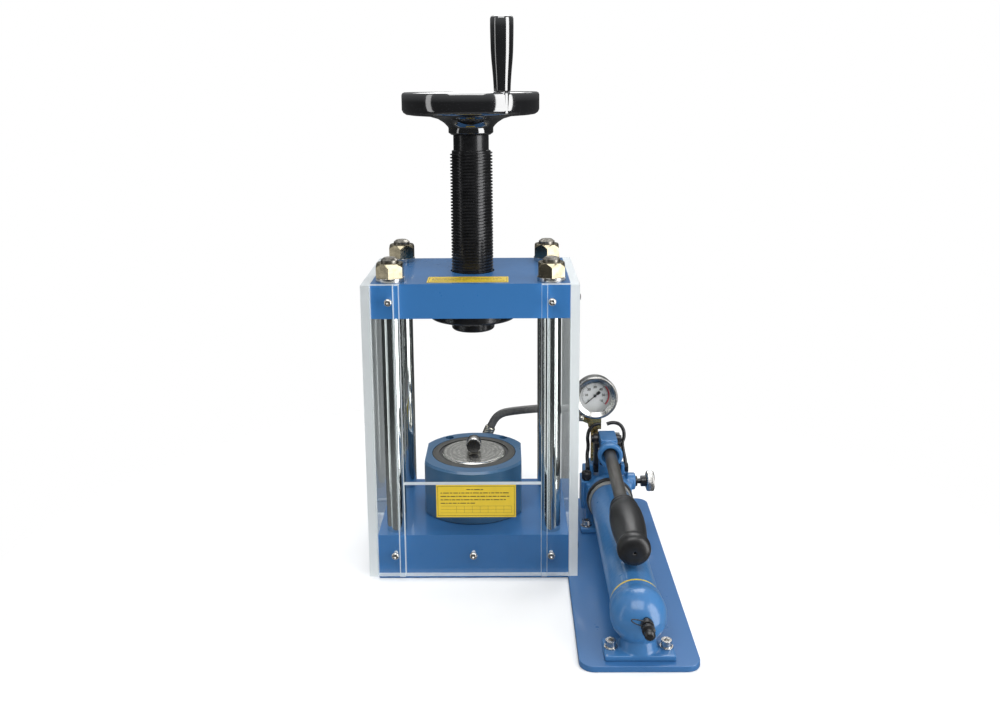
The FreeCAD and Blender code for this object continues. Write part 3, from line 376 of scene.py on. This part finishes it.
def make_materials():
    """One procedural material for each finish."""
    ram = middle("ram_piston")
    return {
        "blue": enamel("blue_enamel", BLUE),
        "plate_blue": enamel("plate_enamel", (0.034, 0.125, 0.300)),
        "cast_blue": enamel("cast_enamel", (0.040, 0.150, 0.345), cast=0.45),
        "drum_blue": enamel("drum_enamel", (0.040, 0.112, 0.215)),
        "chrome": plated_column(),
        "zinc": finish("yellow_zinc", (0.30, 0.265, 0.185), 0.24, metal=1, mottle=0.3, mottle_scale=110,
                       grain=0.02, grain_scale=700),
        "bright": finish("bright_steel", (0.56, 0.55, 0.53), 0.24, metal=1, mottle=0.12,
                         mottle_scale=90, grain=0.01),
        "steel": finish("machined_steel", STEEL, 0.3, metal=1, mottle=0.15, grain=0.01),
        "oxide": finish("black_oxide", (0.022, 0.022, 0.024), 0.3, metal=0.5, mottle=0.4,
                        mottle_scale=70, grain=0.02, coat=0.3),
        "gland": turned_metal("gland_steel", (0.10, 0.10, 0.095), ram, 0.4, 700, 0.02),
        "turned": turned_metal("faced_steel", (0.66, 0.65, 0.61), ram),
        "bakelite": finish("polished_bakelite", (0.006, 0.006, 0.007), 0.09, coat=1.0, mottle=0.2,
                           mottle_scale=25, grain=0.004, grain_scale=160, rough_vary=0.05, ior=1.9),
        "side_clear": clear_sheet("acrylic_side", "X"),
        "front_clear": clear_sheet("acrylic_front", "Y"),
        "label": finish("label_film", (0.66, 0.47, 0.025), 0.42, mottle=0.05, mottle_scale=60,
                        grain=0.01),
        "ink": finish("label_ink", (0.03, 0.028, 0.02), 0.5, mottle=0.3, mottle_scale=300),
        "yellow": finish("yellow_paint", (0.62, 0.47, 0.06), 0.45, mottle=0.16, mottle_scale=160,
                         grain=0.04),
        "seal": finish("black_rubber", (0.016, 0.016, 0.017), 0.5, mottle=0.3, grain=0.03),
        "hose": finish("hose_cover", (0.105, 0.103, 0.10), 0.46, mottle=0.25, mottle_scale=260,
                       grain=0.10, grain_scale=1400),
        "crimp": banded_metal("crimped_ferrule", (0.66, 0.63, 0.54), 3.0, depth=0.25),
        "grey": finish("grey_ring", (0.30, 0.30, 0.28), 0.55, metal=0.3, mottle=0.2, grain=0.03),
        "tube_black": finish("lever_paint", (0.040, 0.037, 0.032), 0.32, coat=0.25, mottle=0.3,
                             mottle_scale=50, grain=0.01),
        "grip": finish("grip_rubber", (0.010, 0.010, 0.0105), 0.36, mottle=0.25, mottle_scale=130,
                       grain=0.05, grain_scale=1100),
        "plastic": finish("black_plastic", BLACK, 0.28, mottle=0.3, grain=0.01),
        "brass": finish("machined_brass", (0.66, 0.45, 0.17), 0.27, metal=1, mottle=0.2,
                        mottle_scale=120, grain=0.02),
        "lens": clear_lens("gauge_lens"),
        "dial": finish("dial_white", (0.66, 0.66, 0.66), 0.5, mottle=0.02, mottle_scale=100),
        "red": finish("dial_red", (0.55, 0.03, 0.05), 0.5, mottle=0.1, mottle_scale=200),
    }


def dress(piece, material):
    """Give the whole of a piece one material."""
    piece.data.materials.clear()
    piece.data.materials.append(material)
    return piece


# ------------------------------------------------------------------ mesh tools

def new_piece(name, bm, material, body, smooth=True):
    """A finished piece from a bmesh, riding on a body."""
    mesh = bpy.data.meshes.new(name)
    bmesh.ops.recalc_face_normals(bm, faces=bm.faces)
    bm.to_mesh(mesh)
    bm.free()
    mesh.polygons.foreach_set("use_smooth", [smooth] * len(mesh.polygons))
    piece = bpy.data.objects.new(name, mesh)
    bpy.context.scene.collection.objects.link(piece)
    dress(piece, material)
    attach(piece, body)
    return piece


def round_edges(piece, width, segments=3, angle=32):
    """Small real radii on a piece's sharp edges."""
    bevel = piece.modifiers.new("edge_radius", "BEVEL")
    bevel.width = width
    bevel.segments = segments
    bevel.limit_method = "ANGLE"
    bevel.angle_limit = math.radians(angle)
    bevel.use_clamp_overlap = True
    bevel.harden_normals = True


def soften(node, width, segments=2):
    """Round the sharp edges of a carried-over CAD node, whose faces come in unjoined."""
    piece = NODES[node]
    reset_normals(piece, True)
    weld = piece.modifiers.new("join_faces", "WELD")
    weld.merge_threshold = 1e-6
    whole = piece.modifiers.new("whole_faces", "DECIMATE")
    whole.decimate_type = "DISSOLVE"
    whole.angle_limit = math.radians(0.5)
    round_edges(piece, width, segments)
    piece.modifiers["edge_radius"].harden_normals = False
    level = piece.modifiers.new("level_faces", "WEIGHTED_NORMAL")
    level.mode = "FACE_AREA"
    level.weight = 100
    level.keep_sharp = False


def reset_normals(piece, smooth):
    """Drop the normals that a CAD mesh came with, and shade it smooth or flat."""
    mesh = piece.data
    for name in ("custom_normal", "sharp_edge"):
        if name in mesh.attributes:
            mesh.attributes.remove(mesh.attributes[name])
    mesh.polygons.foreach_set("use_smooth", [smooth] * len(mesh.polygons))


def frame_on(origin, axis):
    """A matrix that stands local Z on an axis."""
    return Matrix.Translation(origin) @ Vector(axis).to_track_quat("Z", "Y").to_matrix().to_4x4()


def lathe(bm, profile, matrix, segments=96, ripple=None):
    """Turn (radius, height) points, in metres, about local Z. ripple changes a radius by its angle."""
    rings = []
    for index, (radius, height) in enumerate(profile):
        if radius < 1e-7:
            rings.append([bm.verts.new(matrix @ Vector((0, 0, height)))])
            continue
        ring = []
        for step in range(segments):
            angle = 2 * math.pi * step / segments
            r = radius + (ripple(index, angle) if ripple else 0)
            ring.append(bm.verts.new(matrix @ Vector((r * math.cos(angle), r * math.sin(angle), height))))
        rings.append(ring)
    for low, high in zip(rings, rings[1:]):
        join_rings(bm, low, high)
    return rings


def join_rings(bm, low, high):
    count = max(len(low), len(high))
    for step in range(count):
        after = (step + 1) % count
        corners = [low[step % len(low)], low[after % len(low)],
                   high[after % len(high)], high[step % len(high)]]
        unique = list(dict.fromkeys(corners))
        if len(unique) > 2:
            bm.faces.new(unique)


def turned_piece(name, profile, origin, axis, material, body, segments=96, ripple=None, edge=0.0005):
    bm = bmesh.new()
    lathe(bm, profile, frame_on(origin, axis), segments, ripple)
    piece = new_piece(name, bm, material, body)
    if edge:
        round_edges(piece, edge)
    return piece


def cast_copy(node, name, material, body, voxel, rounds):
    """A casting with blended corners, grown from a CAD node's own shape."""
    mesh = NODES[node].data.copy()
    rough = bpy.data.objects.new(name + "_rough", mesh)
    bpy.context.scene.collection.objects.link(rough)
    weld = rough.modifiers.new("weld", "WELD")
    weld.merge_threshold = 1e-6
    remesh = rough.modifiers.new("remesh", "REMESH")
    remesh.mode = "VOXEL"
    remesh.voxel_size = voxel
    smooth = rough.modifiers.new("smooth", "SMOOTH")
    smooth.factor = 0.5
    smooth.iterations = rounds
    graph = bpy.context.evaluated_depsgraph_get()
    result = bpy.data.meshes.new_from_object(rough.evaluated_get(graph))
    bpy.data.objects.remove(rough)
    result.name = name
    result.polygons.foreach_set("use_smooth", [True] * len(result.polygons))
    piece = bpy.data.objects.new(name, result)
    bpy.context.scene.collection.objects.link(piece)
    dress(piece, material)
    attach(piece, body)
    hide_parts(node)
    return piece


def slab(bm, low, high, matrix=Matrix.Identity(4)):
    """A closed box between two corners."""
    result = bmesh.ops.create_cube(bm, size=1.0)
    centre, size = (Vector(low) + Vector(high)) / 2, Vector(high) - Vector(low)
    move = matrix @ Matrix.Translation(centre) @ Matrix.Diagonal((*size, 1))
    bmesh.ops.transform(bm, matrix=move, verts=result["verts"])


def wire_piece(name, points, radius, material, body, order=3):
    """A bent bar or wire along control points."""
    curve = bpy.data.curves.new(name, "CURVE")
    curve.dimensions = "3D"
    spline = curve.splines.new("NURBS")
    spline.points.add(len(points) - 1)
    for target, point in zip(spline.points, points):
        target.co = (*point, 1)
    spline.order_u = order
    spline.use_endpoint_u = True
    spline.resolution_u = 16
    curve.bevel_depth = radius
    curve.bevel_resolution = 6
    curve.use_fill_caps = True
    piece = bpy.data.objects.new(name, curve)
    bpy.context.scene.collection.objects.link(piece)
    piece.data.materials.append(material)
    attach(piece, body)
    return piece


# ------------------------------------------------------------------ lead screw and handwheel

def make_threaded_screw(materials):
    """The lead screw with its real helical thread."""
    low, high = (Vector(c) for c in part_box("lead_screw"))
    major = (high.x - low.x) / 2
    thread_depth, smooth_end, thread_top = 2.6 * MM, 12 * MM, 252 * MM
    shaft_radius, shaft_long, stub_radius = 25 * MM, 22 * MM, 14 * MM
    root = major - thread_depth
    start, end = low.z + smooth_end, low.z + thread_top
    bm = bmesh.new()
    profile = [(root, 0.0), (root, 0.30), (major, 0.46), (major, 0.72), (root, 0.88)]
    steps = 72
    rows = []
    turns = (end - start) / THREAD_PITCH
    for step in range(int(turns * steps) + 1):
        angle = 2 * math.pi * step / steps
        row = []
        for radius, share in profile:
            height = start + (step / steps + share - 1) * THREAD_PITCH
            inside = start <= height <= end
            r = radius if inside else root - 0.2 * MM
            z = min(max(height, start), end)
            row.append(bm.verts.new((r * math.cos(angle), r * math.sin(angle), z)))
        rows.append(row)
    for row, after in zip(rows, rows[1:]):
        for a, b, c, d in zip(row, after, after[1:], row[1:]):
            bm.faces.new((a, b, c, d))
    thread = new_piece("lead_screw_thread", bm, materials["oxide"], "screw", smooth=False)
    core = [
        (0, low.z), (12 * MM, low.z), (12 * MM, start), (root, start), (root + 0.01 * MM, end),
        (shaft_radius, end + 0.5 * MM), (shaft_radius, end + shaft_long),
        (stub_radius, end + shaft_long), (stub_radius, high.z), (0, high.z),
    ]
    shaft = turned_piece("lead_screw_shaft", core, (0, 0, 0), Z_AXIS, materials["oxide"], "screw")
    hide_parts("lead_screw")


def make_handwheel(materials):
    """Moulded handwheel: rolled rim, finger scallops inside the rim, dished web and cone."""
    low, high = (Vector(c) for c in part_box("handwheel"))
    outer = (high.x - low.x) / 2
    base, top = low.z, high.z
    rim = base + 28 * MM
    profile = [
        (14.05 * MM, base), (27.5 * MM, base), (31.5 * MM, base + 3 * MM), (31.5 * MM, base + 9.5 * MM),
        (33 * MM, base + 12 * MM), (38 * MM, base + 17 * MM), (46 * MM, base + 22 * MM),
        (58 * MM, base + 25.5 * MM), (outer - 14 * MM, base + 27.2 * MM),
        (outer - 6 * MM, base + 28.4 * MM), (outer - 2 * MM, rim + 3 * MM), (outer, rim + 7 * MM),
        (outer, top - 4 * MM), (outer - 1.2 * MM, top - 1.2 * MM), (outer - 4 * MM, top),
        (outer - 10 * MM, top), (outer - 14 * MM, top - 1.5 * MM), (outer - 15.5 * MM, top - 5 * MM),
        (outer - 17 * MM, rim + 12 * MM), (outer - 22 * MM, rim + 7.5 * MM), (60 * MM, rim + 6 * MM),
        (34 * MM, rim + 7 * MM), (27 * MM, rim + 10 * MM), (25.5 * MM, top - 16 * MM),
        (23.5 * MM, top - 14 * MM), (14.05 * MM, top - 14 * MM),
    ]
    inner_rows = (15, 16, 17, 18)
    waves = 18

    def scallop(index, angle):
        return 1.6 * MM * abs(math.sin(waves * angle / 2)) if index in inner_rows else 0.0

    bm = bmesh.new()
    rings = lathe(bm, profile, Matrix.Identity(4), 288, scallop)
    join_rings(bm, rings[-1], rings[0])
    spindle = middle("handle_spindle")
    boss = Matrix.Translation((spindle.x, spindle.y, 0))
    lathe(bm, [(0, rim + 3 * MM), (12 * MM, rim + 3 * MM), (12.4 * MM, top - 2 * MM),
               (11 * MM, top + 0.2 * MM), (0, top + 0.2 * MM)], boss, 48)
    wheel = new_piece("handwheel_moulded", bm, materials["bakelite"], "screw")
    round_edges(wheel, 0.5 * MM, 2, 40)
    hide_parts("handwheel")


def make_handle(materials):
    """Revolving handle, swelling towards its flat top, with the screw hole at the end."""
    low, high = (Vector(c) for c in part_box("handle_grip"))
    centre = middle("handle_grip")
    height = high.z - low.z
    profile = [
        (5.1 * MM, 0), (10 * MM, 0), (11.2 * MM, 1.2 * MM), (11.4 * MM, 8 * MM), (12 * MM, 18 * MM),
        (13 * MM, 30 * MM), (14.1 * MM, 42 * MM), (14.8 * MM, 54 * MM), (15.2 * MM, 70 * MM),
        (15.4 * MM, 84 * MM), (15.3 * MM, height - 4 * MM), (14.4 * MM, height - 1.4 * MM),
        (12 * MM, height - 0.3 * MM), (5 * MM, height), (4 * MM, height - 1.6 * MM),
        (0, height - 1.8 * MM),
    ]
    handle = turned_piece("handle_moulded", profile, (centre.x, centre.y, low.z), Z_AXIS,
                          materials["bakelite"], "handle", 72)
    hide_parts("handle_grip")


# ------------------------------------------------------------------ shield screws and labels

def screw_places():
    """Head positions and outward directions of the shield screws, from the panels' boxes."""
    low, high = (Vector(c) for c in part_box("base_block"))
    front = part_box("front_strip_left")[0][1]
    left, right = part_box("side_shield_left")[0][0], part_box("side_shield_right")[1][0]
    upper, lower, inset, depth = 406 * MM, 39.5 * MM, 25 * MM, 76 * MM
    places = []
    for side in (low.x + inset, high.x - inset):
        places += [((side, front, z), -Y_AXIS) for z in (upper, lower)]
    places.append(((0, front, lower), -Y_AXIS))
    for x, outward in ((left, -X_AXIS), (right, X_AXIS)):
        places += [((x, y, z), outward) for y in (-depth, depth) for z in (upper, lower)]
    return places


def make_shield_screws(materials):
    """Domed socket screws: head, hexagonal socket and shank."""
    bm = bmesh.new()
    shank, rim, segments = 2.5 * MM, 5.4 * MM, 36
    socket_flat, socket_top, socket_deep = 1.75 * MM, 3.4 * MM, 2.2 * MM
    head = [(0, -SCREW_REACH), (shank, -SCREW_REACH), (shank, 0.02 * MM), (rim, 0.02 * MM),
            (rim, 1.0 * MM), (4.8 * MM, 2.2 * MM), (3.6 * MM, 3.1 * MM), (2.2 * MM, 3.45 * MM)]
    for place, outward in screw_places():
        matrix = frame_on(place, outward)
        rings = lathe(bm, head, matrix, segments)
        socket = []
        for step in range(segments):
            angle = 2 * math.pi * step / segments
            reach = socket_flat / math.cos((angle % (math.pi / 3)) - math.pi / 6)
            corner = Vector((reach * math.cos(angle), reach * math.sin(angle), socket_top))
            socket.append(bm.verts.new(matrix @ corner))
        join_rings(bm, rings[-1], socket)
        floor = [bm.verts.new(v.co - Vector(outward) * socket_deep) for v in socket]
        join_rings(bm, socket, floor)
        bm.faces.new(floor)
    screws = new_piece("shield_screw_set", bm, materials["bright"], "frame")
    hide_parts("shield_screws")


def label_boxes():
    """Corner boxes of the two label plates, from the panel and the crown they lie on."""
    panel_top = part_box("front_panel")[1][2]
    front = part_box("label_plates")[0][1]
    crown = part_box("top_plate")[1][2]
    wide, high, deep = 111 * MM, 48 * MM, 38 * MM
    front_middle, top_middle, top_front = 4.8 * MM, -4 * MM, -88 * MM
    front_low = Vector((front_middle - wide / 2, front, panel_top - high))
    top_low = Vector((top_middle - wide / 2, top_front, crown))
    return front_low, (wide, high), top_low, (wide, deep)


# Lengths in millimetres of the dashes that stand for print, used in turn.
DASHES = (5.5, 2.5, 8.0, 3.5, 6.5, 2.0, 4.5)


def print_bars(bm, origin, right, up, outward, size):
    """A border line, rows of blank dashes and an empty table, with no lettering."""
    wide, high = size
    margin, line, thick = 2.0 * MM, 0.5 * MM, 0.06 * MM

    def bar(x0, y0, x1, y1):
        corners = [origin + right * x + up * y + outward * 0.02 * MM for x, y in ((x0, y0), (x1, y1))]
        far = corners[1] + outward * thick
        low = Vector(min(a, b) for a, b in zip(corners[0], far))
        top = Vector(max(a, b) for a, b in zip(corners[0], far))
        slab(bm, low, top)

    bar(margin, margin, wide - margin, margin + line)
    bar(margin, high - margin - line, wide - margin, high - margin)
    bar(margin, margin, margin + line, high - margin)
    bar(wide - margin - line, margin, wide - margin, high - margin)
    lengths = (0.24, 0.88, 0.88, 0.82, 0.46)
    step = high * 0.105
    for row, length in enumerate(lengths):
        y = high - 6.5 * MM - row * step
        x = wide * (0.5 - length / 2) if row == 0 else 6 * MM
        stop, word = x + wide * length, row
        while x < stop - 2 * MM:
            reach = min(x + DASHES[word % len(DASHES)] * MM, stop)
            bar(x, y - 1.15 * MM, reach, y)
            x, word = reach + 1.3 * MM, word + 1
    for y in (high * 0.34, high * 0.235, high * 0.13):
        bar(6 * MM, y, wide - 6 * MM, y + 0.25 * MM)
    for column in range(8):
        x = 28 * MM + column * (wide - 34 * MM) / 7
        bar(x, high * 0.13, x + 0.25 * MM, high * 0.34)


def make_label_print(materials):
    """Borders, dashes and empty tables on the front and the top label plates."""
    front_low, front_size, top_low, top_size = label_boxes()
    bm = bmesh.new()
    print_bars(bm, front_low, X_AXIS, Z_AXIS, -Y_AXIS, front_size)
    top = top_low + Z_AXIS * LABEL_THICK
    print_bars(bm, top, X_AXIS, Y_AXIS, Z_AXIS, top_size)
    ink = new_piece("label_ruling", bm, materials["ink"], "frame", smooth=False)


# ------------------------------------------------------------------ gauge

DIAL_START, DIAL_SWEEP = math.radians(222), math.radians(264)


def dial_point(share, radius):
    """A point on the dial's face at a share of the scale; the scale runs clockwise."""
    centre = middle("gauge_dial")
    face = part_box("gauge_dial")[0][1] - 0.08 * MM
    angle = DIAL_START - DIAL_SWEEP * share
    return Vector((centre.x + radius * math.cos(angle), face, centre.z + radius * math.sin(angle)))


def dial_bar(bm, share, inner, outer, wide):
    """One tick or a stretch of the scale's arc."""
    a, b = dial_point(share, inner), dial_point(share, outer)
    along = (b - a).normalized()
    across = along.cross(Y_AXIS) * wide / 2
    corners = [a - across, a + across, b + across, b - across]
    near = [bm.verts.new(c) for c in corners]
    far = [bm.verts.new(c + Y_AXIS * 0.06 * MM) for c in corners]
    bm.faces.new(near)
    bm.faces.new(far[::-1])
    join_rings(bm, near, far)


def dial_arc(bm, start, end, inner, outer, steps=48):
    """A band of the dial between two shares of the scale."""
    rows = []
    for step in range(steps + 1):
        share = start + (end - start) * step / steps
        corners = [dial_point(share, inner), dial_point(share, outer)]
        row = [bm.verts.new(c) for c in corners]
        row += [bm.verts.new(c + Y_AXIS * 0.06 * MM) for c in reversed(corners)]
        rows.append(row)
    for low, high in zip(rows, rows[1:]):
        join_rings(bm, low, high)
    bm.faces.new(rows[0])
    bm.faces.new(rows[-1][::-1])


def make_dial_print(materials):
    """Scale arc, ticks, the red band and plain numbers."""
    bm = bmesh.new()
    radius = 21.0 * MM
    marks = 30
    for mark in range(marks + 1):
        reach, wide = (3.2, 0.7) if mark % 5 == 0 else (1.8, 0.3)
        dial_bar(bm, mark / marks, radius - reach * MM, radius, wide * MM)
    dial_arc(bm, 0, 1, radius, radius + 0.5 * MM)
    new_piece("dial_scale", bm, materials["ink"], "frame", smooth=False)
    bm = bmesh.new()
    dial_arc(bm, 0.68, 1.0, radius + 0.8 * MM, radius + 2.6 * MM)
    new_piece("dial_red_band", bm, materials["red"], "frame", smooth=False)
    for number in range(7):
        place = dial_point(number / 6, radius - 7.0 * MM)
        curve = bpy.data.curves.new("dial_number_%d" % number, "FONT")
        curve.body = str(number * 10)
        curve.size = 5.6 * MM
        curve.offset = 0.22 * MM
        curve.align_x = "CENTER"
        curve.align_y = "CENTER"
        curve.extrude = 0.04 * MM
        text = bpy.data.objects.new(curve.name, curve)
        text.location = place
        text.rotation_euler = (math.pi / 2, 0, 0)
        bpy.context.scene.collection.objects.link(text)
        text.data.materials.append(materials["ink"])
        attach(text, "frame")


# ------------------------------------------------------------------ hose

HOSE_ROUTE = [
    (0.0220, 0.1150, 0.1485), (0.0262, 0.1153, 0.1576), (0.0327, 0.1162, 0.1659),
    (0.0424, 0.1175, 0.1711), (0.0572, 0.1194, 0.1730), (0.0800, 0.1220, 0.1746),
    (0.1080, 0.1244, 0.1760), (0.1365, 0.1263, 0.1742), (0.1545, 0.1275, 0.1660),
]
HOSE_DIAMETER = 13 * MM


def make_hose(materials):
    """The pressure hose between the cylinder's elbow and the gauge tee."""
    hose = wire_piece("pressure_hose_cover", HOSE_ROUTE, HOSE_DIAMETER / 2, materials["hose"], "frame")
    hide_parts("pressure_hose")


# ------------------------------------------------------------------ ram

def make_centre_pin(materials):
    """Centring pin: a bright barrel across a black neck, with a black face to the front that is a painted
    reflection of the dark room in the pin's polished front.
    """
    low, high = (Vector(c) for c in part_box("centre_pin"))
    centre, radius = middle("centre_pin"), (high.x - low.x) / 2 + 0.4 * MM
    heart = Vector((centre.x, centre.y + 10 * MM, high.z - radius + 0.4 * MM))
    shell = [
        (0, 0), (radius - 2 * MM, 0), (radius - 0.6 * MM, 0.6 * MM), (radius, 2 * MM),
        (radius, 18.5 * MM), (radius - 0.5 * MM, 19.6 * MM), (radius - 1.0 * MM, 20 * MM),
        (radius - 1.2 * MM, 19.5 * MM), (0, 19.5 * MM),
    ]
    face = [(0, 19.4 * MM), (radius - 1.3 * MM, 19.4 * MM), (radius - 0.9 * MM, 20.2 * MM),
            (radius - 2.2 * MM, 20.7 * MM), (0, 20.9 * MM)]
    neck_radius, neck_top = 6 * MM, heart.z - radius + 1 * MM
    neck = [(0, low.z), (neck_radius, low.z), (neck_radius, neck_top), (0, neck_top)]
    barrel = turned_piece("centre_pin_barrel", shell, heart, -Y_AXIS, materials["bright"],
                          "ram", 72, edge=0)
    # painted reflection: the black face stands in for the dark room mirrored in the polished front of the
    # pin
    cap = turned_piece("centre_pin_painted_reflection", face, heart, -Y_AXIS, materials["plastic"],
                       "ram", 72, edge=0)
    stem = turned_piece("centre_pin_neck", neck, (centre.x, centre.y, 0), Z_AXIS, materials["oxide"],
                        "ram", 48, edge=0)
    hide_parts("centre_pin")


# ------------------------------------------------------------------ pump

def make_castings(materials):
    """The pump's three castings, with blended corners."""
    head = cast_copy("pump_head", "pump_head_casting", materials["cast_blue"], "frame", 1.3 * MM, 9)
    rocker = cast_copy("rocker", "rocker_casting", materials["cast_blue"], "lever", 0.8 * MM, 8)
    cap = cast_copy("tank_end_cap", "end_cap_casting", materials["cast_blue"], "frame", 1.2 * MM, 7)


def make_grip(materials):
    """Moulded rubber grip: collar rings, a full palm swell and a domed end with a vent hole."""
    mouth = Vector((middle("rocker").x, LEVER_MOUTH_Y, LEVER_MOUTH_Z))
    direction = Vector((0, -math.cos(LEVER_TILT), -math.sin(LEVER_TILT)))
    outline = [
        (9.6, 178), (13.5, 178), (16.5, 179.5), (18.2, 182.5), (18.6, 186), (18.1, 189), (19.6, 191),
        (20.4, 195), (19.8, 198.5), (21.0, 202), (22.4, 212), (23.0, 226), (22.8, 240), (22.2, 252),
        (21.4, 262), (20.2, 272), (19.2, 280), (18.8, 284.5), (19.4, 287), (20.9, 289), (21.8, 292),
        (21.9, 296), (21.2, 300), (19.4, 303.4), (16, 305.7), (11, 306.9), (6, 307.3), (1.7, 307.3),
        (1.4, 306.4), (1.3, 300), (0, 300),
    ]
    bm = bmesh.new()
    lathe(bm, [(radius * MM, reach * MM) for radius, reach in outline], frame_on(mouth, direction), 96)
    grip = new_piece("lever_grip_moulded", bm, materials["grip"], "lever")
    smooth = grip.modifiers.new("moulded_form", "SUBSURF")
    smooth.levels = smooth.render_levels = 1
    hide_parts("lever_grip")


def make_release_knob(materials):
    """Knurled release knob."""
    low, high = (Vector(c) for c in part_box("release_knob"))
    radius, length = (high.z - low.z) / 2, high.x - low.x
    centre = middle("release_knob")
    profile = [
        (5.03 * MM, 0), (radius - 4 * MM, 0), (radius - 0.6 * MM, 1.2 * MM), (radius, 2.2 * MM),
        (radius, length * 0.5), (radius, length - 2.4 * MM), (radius - 0.8 * MM, length - 1.0 * MM),
        (radius - 4 * MM, length), (radius - 8 * MM, length - 0.3 * MM), (0, length - 0.6 * MM),
    ]

    def knurl(index, angle):
        return -0.45 * MM * abs(math.sin(26 * angle)) if index in (3, 4, 5) else 0.0

    knob = turned_piece("release_knob_knurled", profile, (low.x, centre.y, centre.z), X_AXIS,
                        materials["bright"], "release", 208, knurl, 0)
    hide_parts("release_knob")


def make_pump_trim(materials):
    """Black retaining straps beside the rocker and the vent's wire clip."""
    rocker = middle("rocker")
    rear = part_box("rocker")[1][1]
    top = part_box("rocker")[1][2]
    straps = {
        "retaining_strap_right": [(2, 2, 4), (10, 3, 7), (22, 2, 5), (29, 0, -4), (30, -4, -16),
                                  (26, -6, -24), (28, -10, -38), (31, -16, -52), (31, -24, -64)],
        "retaining_strap_left": [(-8, 3, 4), (-16, 3, 5), (-26, 1, -3), (-30, -3, -16), (-28, -6, -30),
                                 (-31, -12, -44), (-30, -20, -58), (-32, -26, -66)],
    }
    for name, offsets in straps.items():
        points = [Vector((rocker.x, rear, top)) + Vector(offset) * MM for offset in offsets]
        strap = wire_piece(name, points, STRAP_RADIUS, materials["plastic"], "frame")
    vent = middle("vent_plug")
    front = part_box("vent_plug")[0][1]
    offsets = [(-2, 24, 6), (-10, 22, 9), (-19, 20, 12), (-20, 19, 9), (-10, 19, 4), (-3, 19, 2)]
    points = [Vector((vent.x, front, vent.z)) + Vector(offset) * MM for offset in offsets]
    clip = wire_piece("vent_wire_clip", points, CLIP_RADIUS, materials["plastic"], "vent")


# ------------------------------------------------------------------ carried-over CAD nodes

# The finish and the edge radius, in millimetres, of each CAD node.
NODE_FINISH = {
    "mounting_plate": ("plate_blue", 1.0), "base_block": ("blue", 1.2), "top_plate": ("blue", 1.2),
    "column_1": ("chrome", 0), "column_2": ("chrome", 0), "column_3": ("chrome", 0),
    "column_4": ("chrome", 0), "column_nuts": ("zinc", 0.5), "column_lock_washers": ("bright", 0.5),
    "lead_nut": ("oxide", 0.6), "lead_nut_bolts": ("oxide", 0.3), "press_foot": ("oxide", 0.6),
    "handwheel_key": ("steel", 0.2), "handwheel_bolt": ("bright", 0.4), "handle_spindle": ("steel", 0),
    "side_shield_left": ("side_clear", 0), "side_shield_right": ("side_clear", 0),
    "front_strip_left": ("front_clear", 0), "front_strip_right": ("front_clear", 0),
    "guide_ribs": ("front_clear", 0), "front_panel": ("front_clear", 0), "label_plates": ("label", 0),
    "cylinder_body": ("drum_blue", 0.8), "gland_ring": ("gland", 0.4), "rod_wiper": ("seal", 0.2),
    "ram_piston": ("turned", 0.4), "centre_pin": ("plastic", 0.6), "hose_ferrules": ("crimp", 0.3),
    "port_elbow": ("steel", 0.4), "tank_tube": ("cast_blue", 0), "tank_clamp_ring": ("grey", 0.5),
    "tank_seal_ring": ("seal", 1.0), "tank_mark_ring": ("yellow", 0.3), "tie_rod": ("steel", 0),
    "pump_bolts": ("bright", 0.4), "plunger": ("steel", 0.3), "gland_nut": ("oxide", 0.4),
    "fulcrum_links": ("oxide", 0.8), "link_pins": ("oxide", 0.4), "plunger_pin": ("steel", 0.2),
    "lever_tube": ("tube_black", 0), "release_stem": ("oxide", 0.3), "relief_plug": ("plastic", 0.4),
    "vent_plug": ("plastic", 0.5), "gauge_tee": ("brass", 0.5), "gauge_case": ("bright", 0.5),
    "gauge_bezel": ("bright", 0.4), "gauge_glass": ("lens", 0), "gauge_dial": ("dial", 0),
    "gauge_pointer": ("plastic", 0),
}


def dress_cad_nodes(materials):
    """Give each CAD node its finish and edge radius.

    Clear sheets cast no shadow, and are drawn a little inside their faces, which lie flat on others.
    """
    for node, (key, radius) in NODE_FINISH.items():
        dress(NODES[node], materials[key])
        if radius:
            soften(node, radius * MM)
        elif key in ("side_clear", "front_clear"):
            reset_normals(NODES[node], False)
            NODES[node].visible_shadow = False
            gap = NODES[node].modifiers.new("clear_of_neighbours", "DISPLACE")
            gap.mid_level, gap.strength = 0, -SHEET_GAP


make_camera()
MATERIALS = make_materials()
make_studio()
dress_cad_nodes(MATERIALS)
make_hose(MATERIALS)
make_threaded_screw(MATERIALS)
make_handwheel(MATERIALS)
make_handle(MATERIALS)
make_shield_screws(MATERIALS)
make_label_print(MATERIALS)
make_dial_print(MATERIALS)
make_centre_pin(MATERIALS)
make_castings(MATERIALS)
make_grip(MATERIALS)
make_release_knob(MATERIALS)
make_pump_trim(MATERIALS)
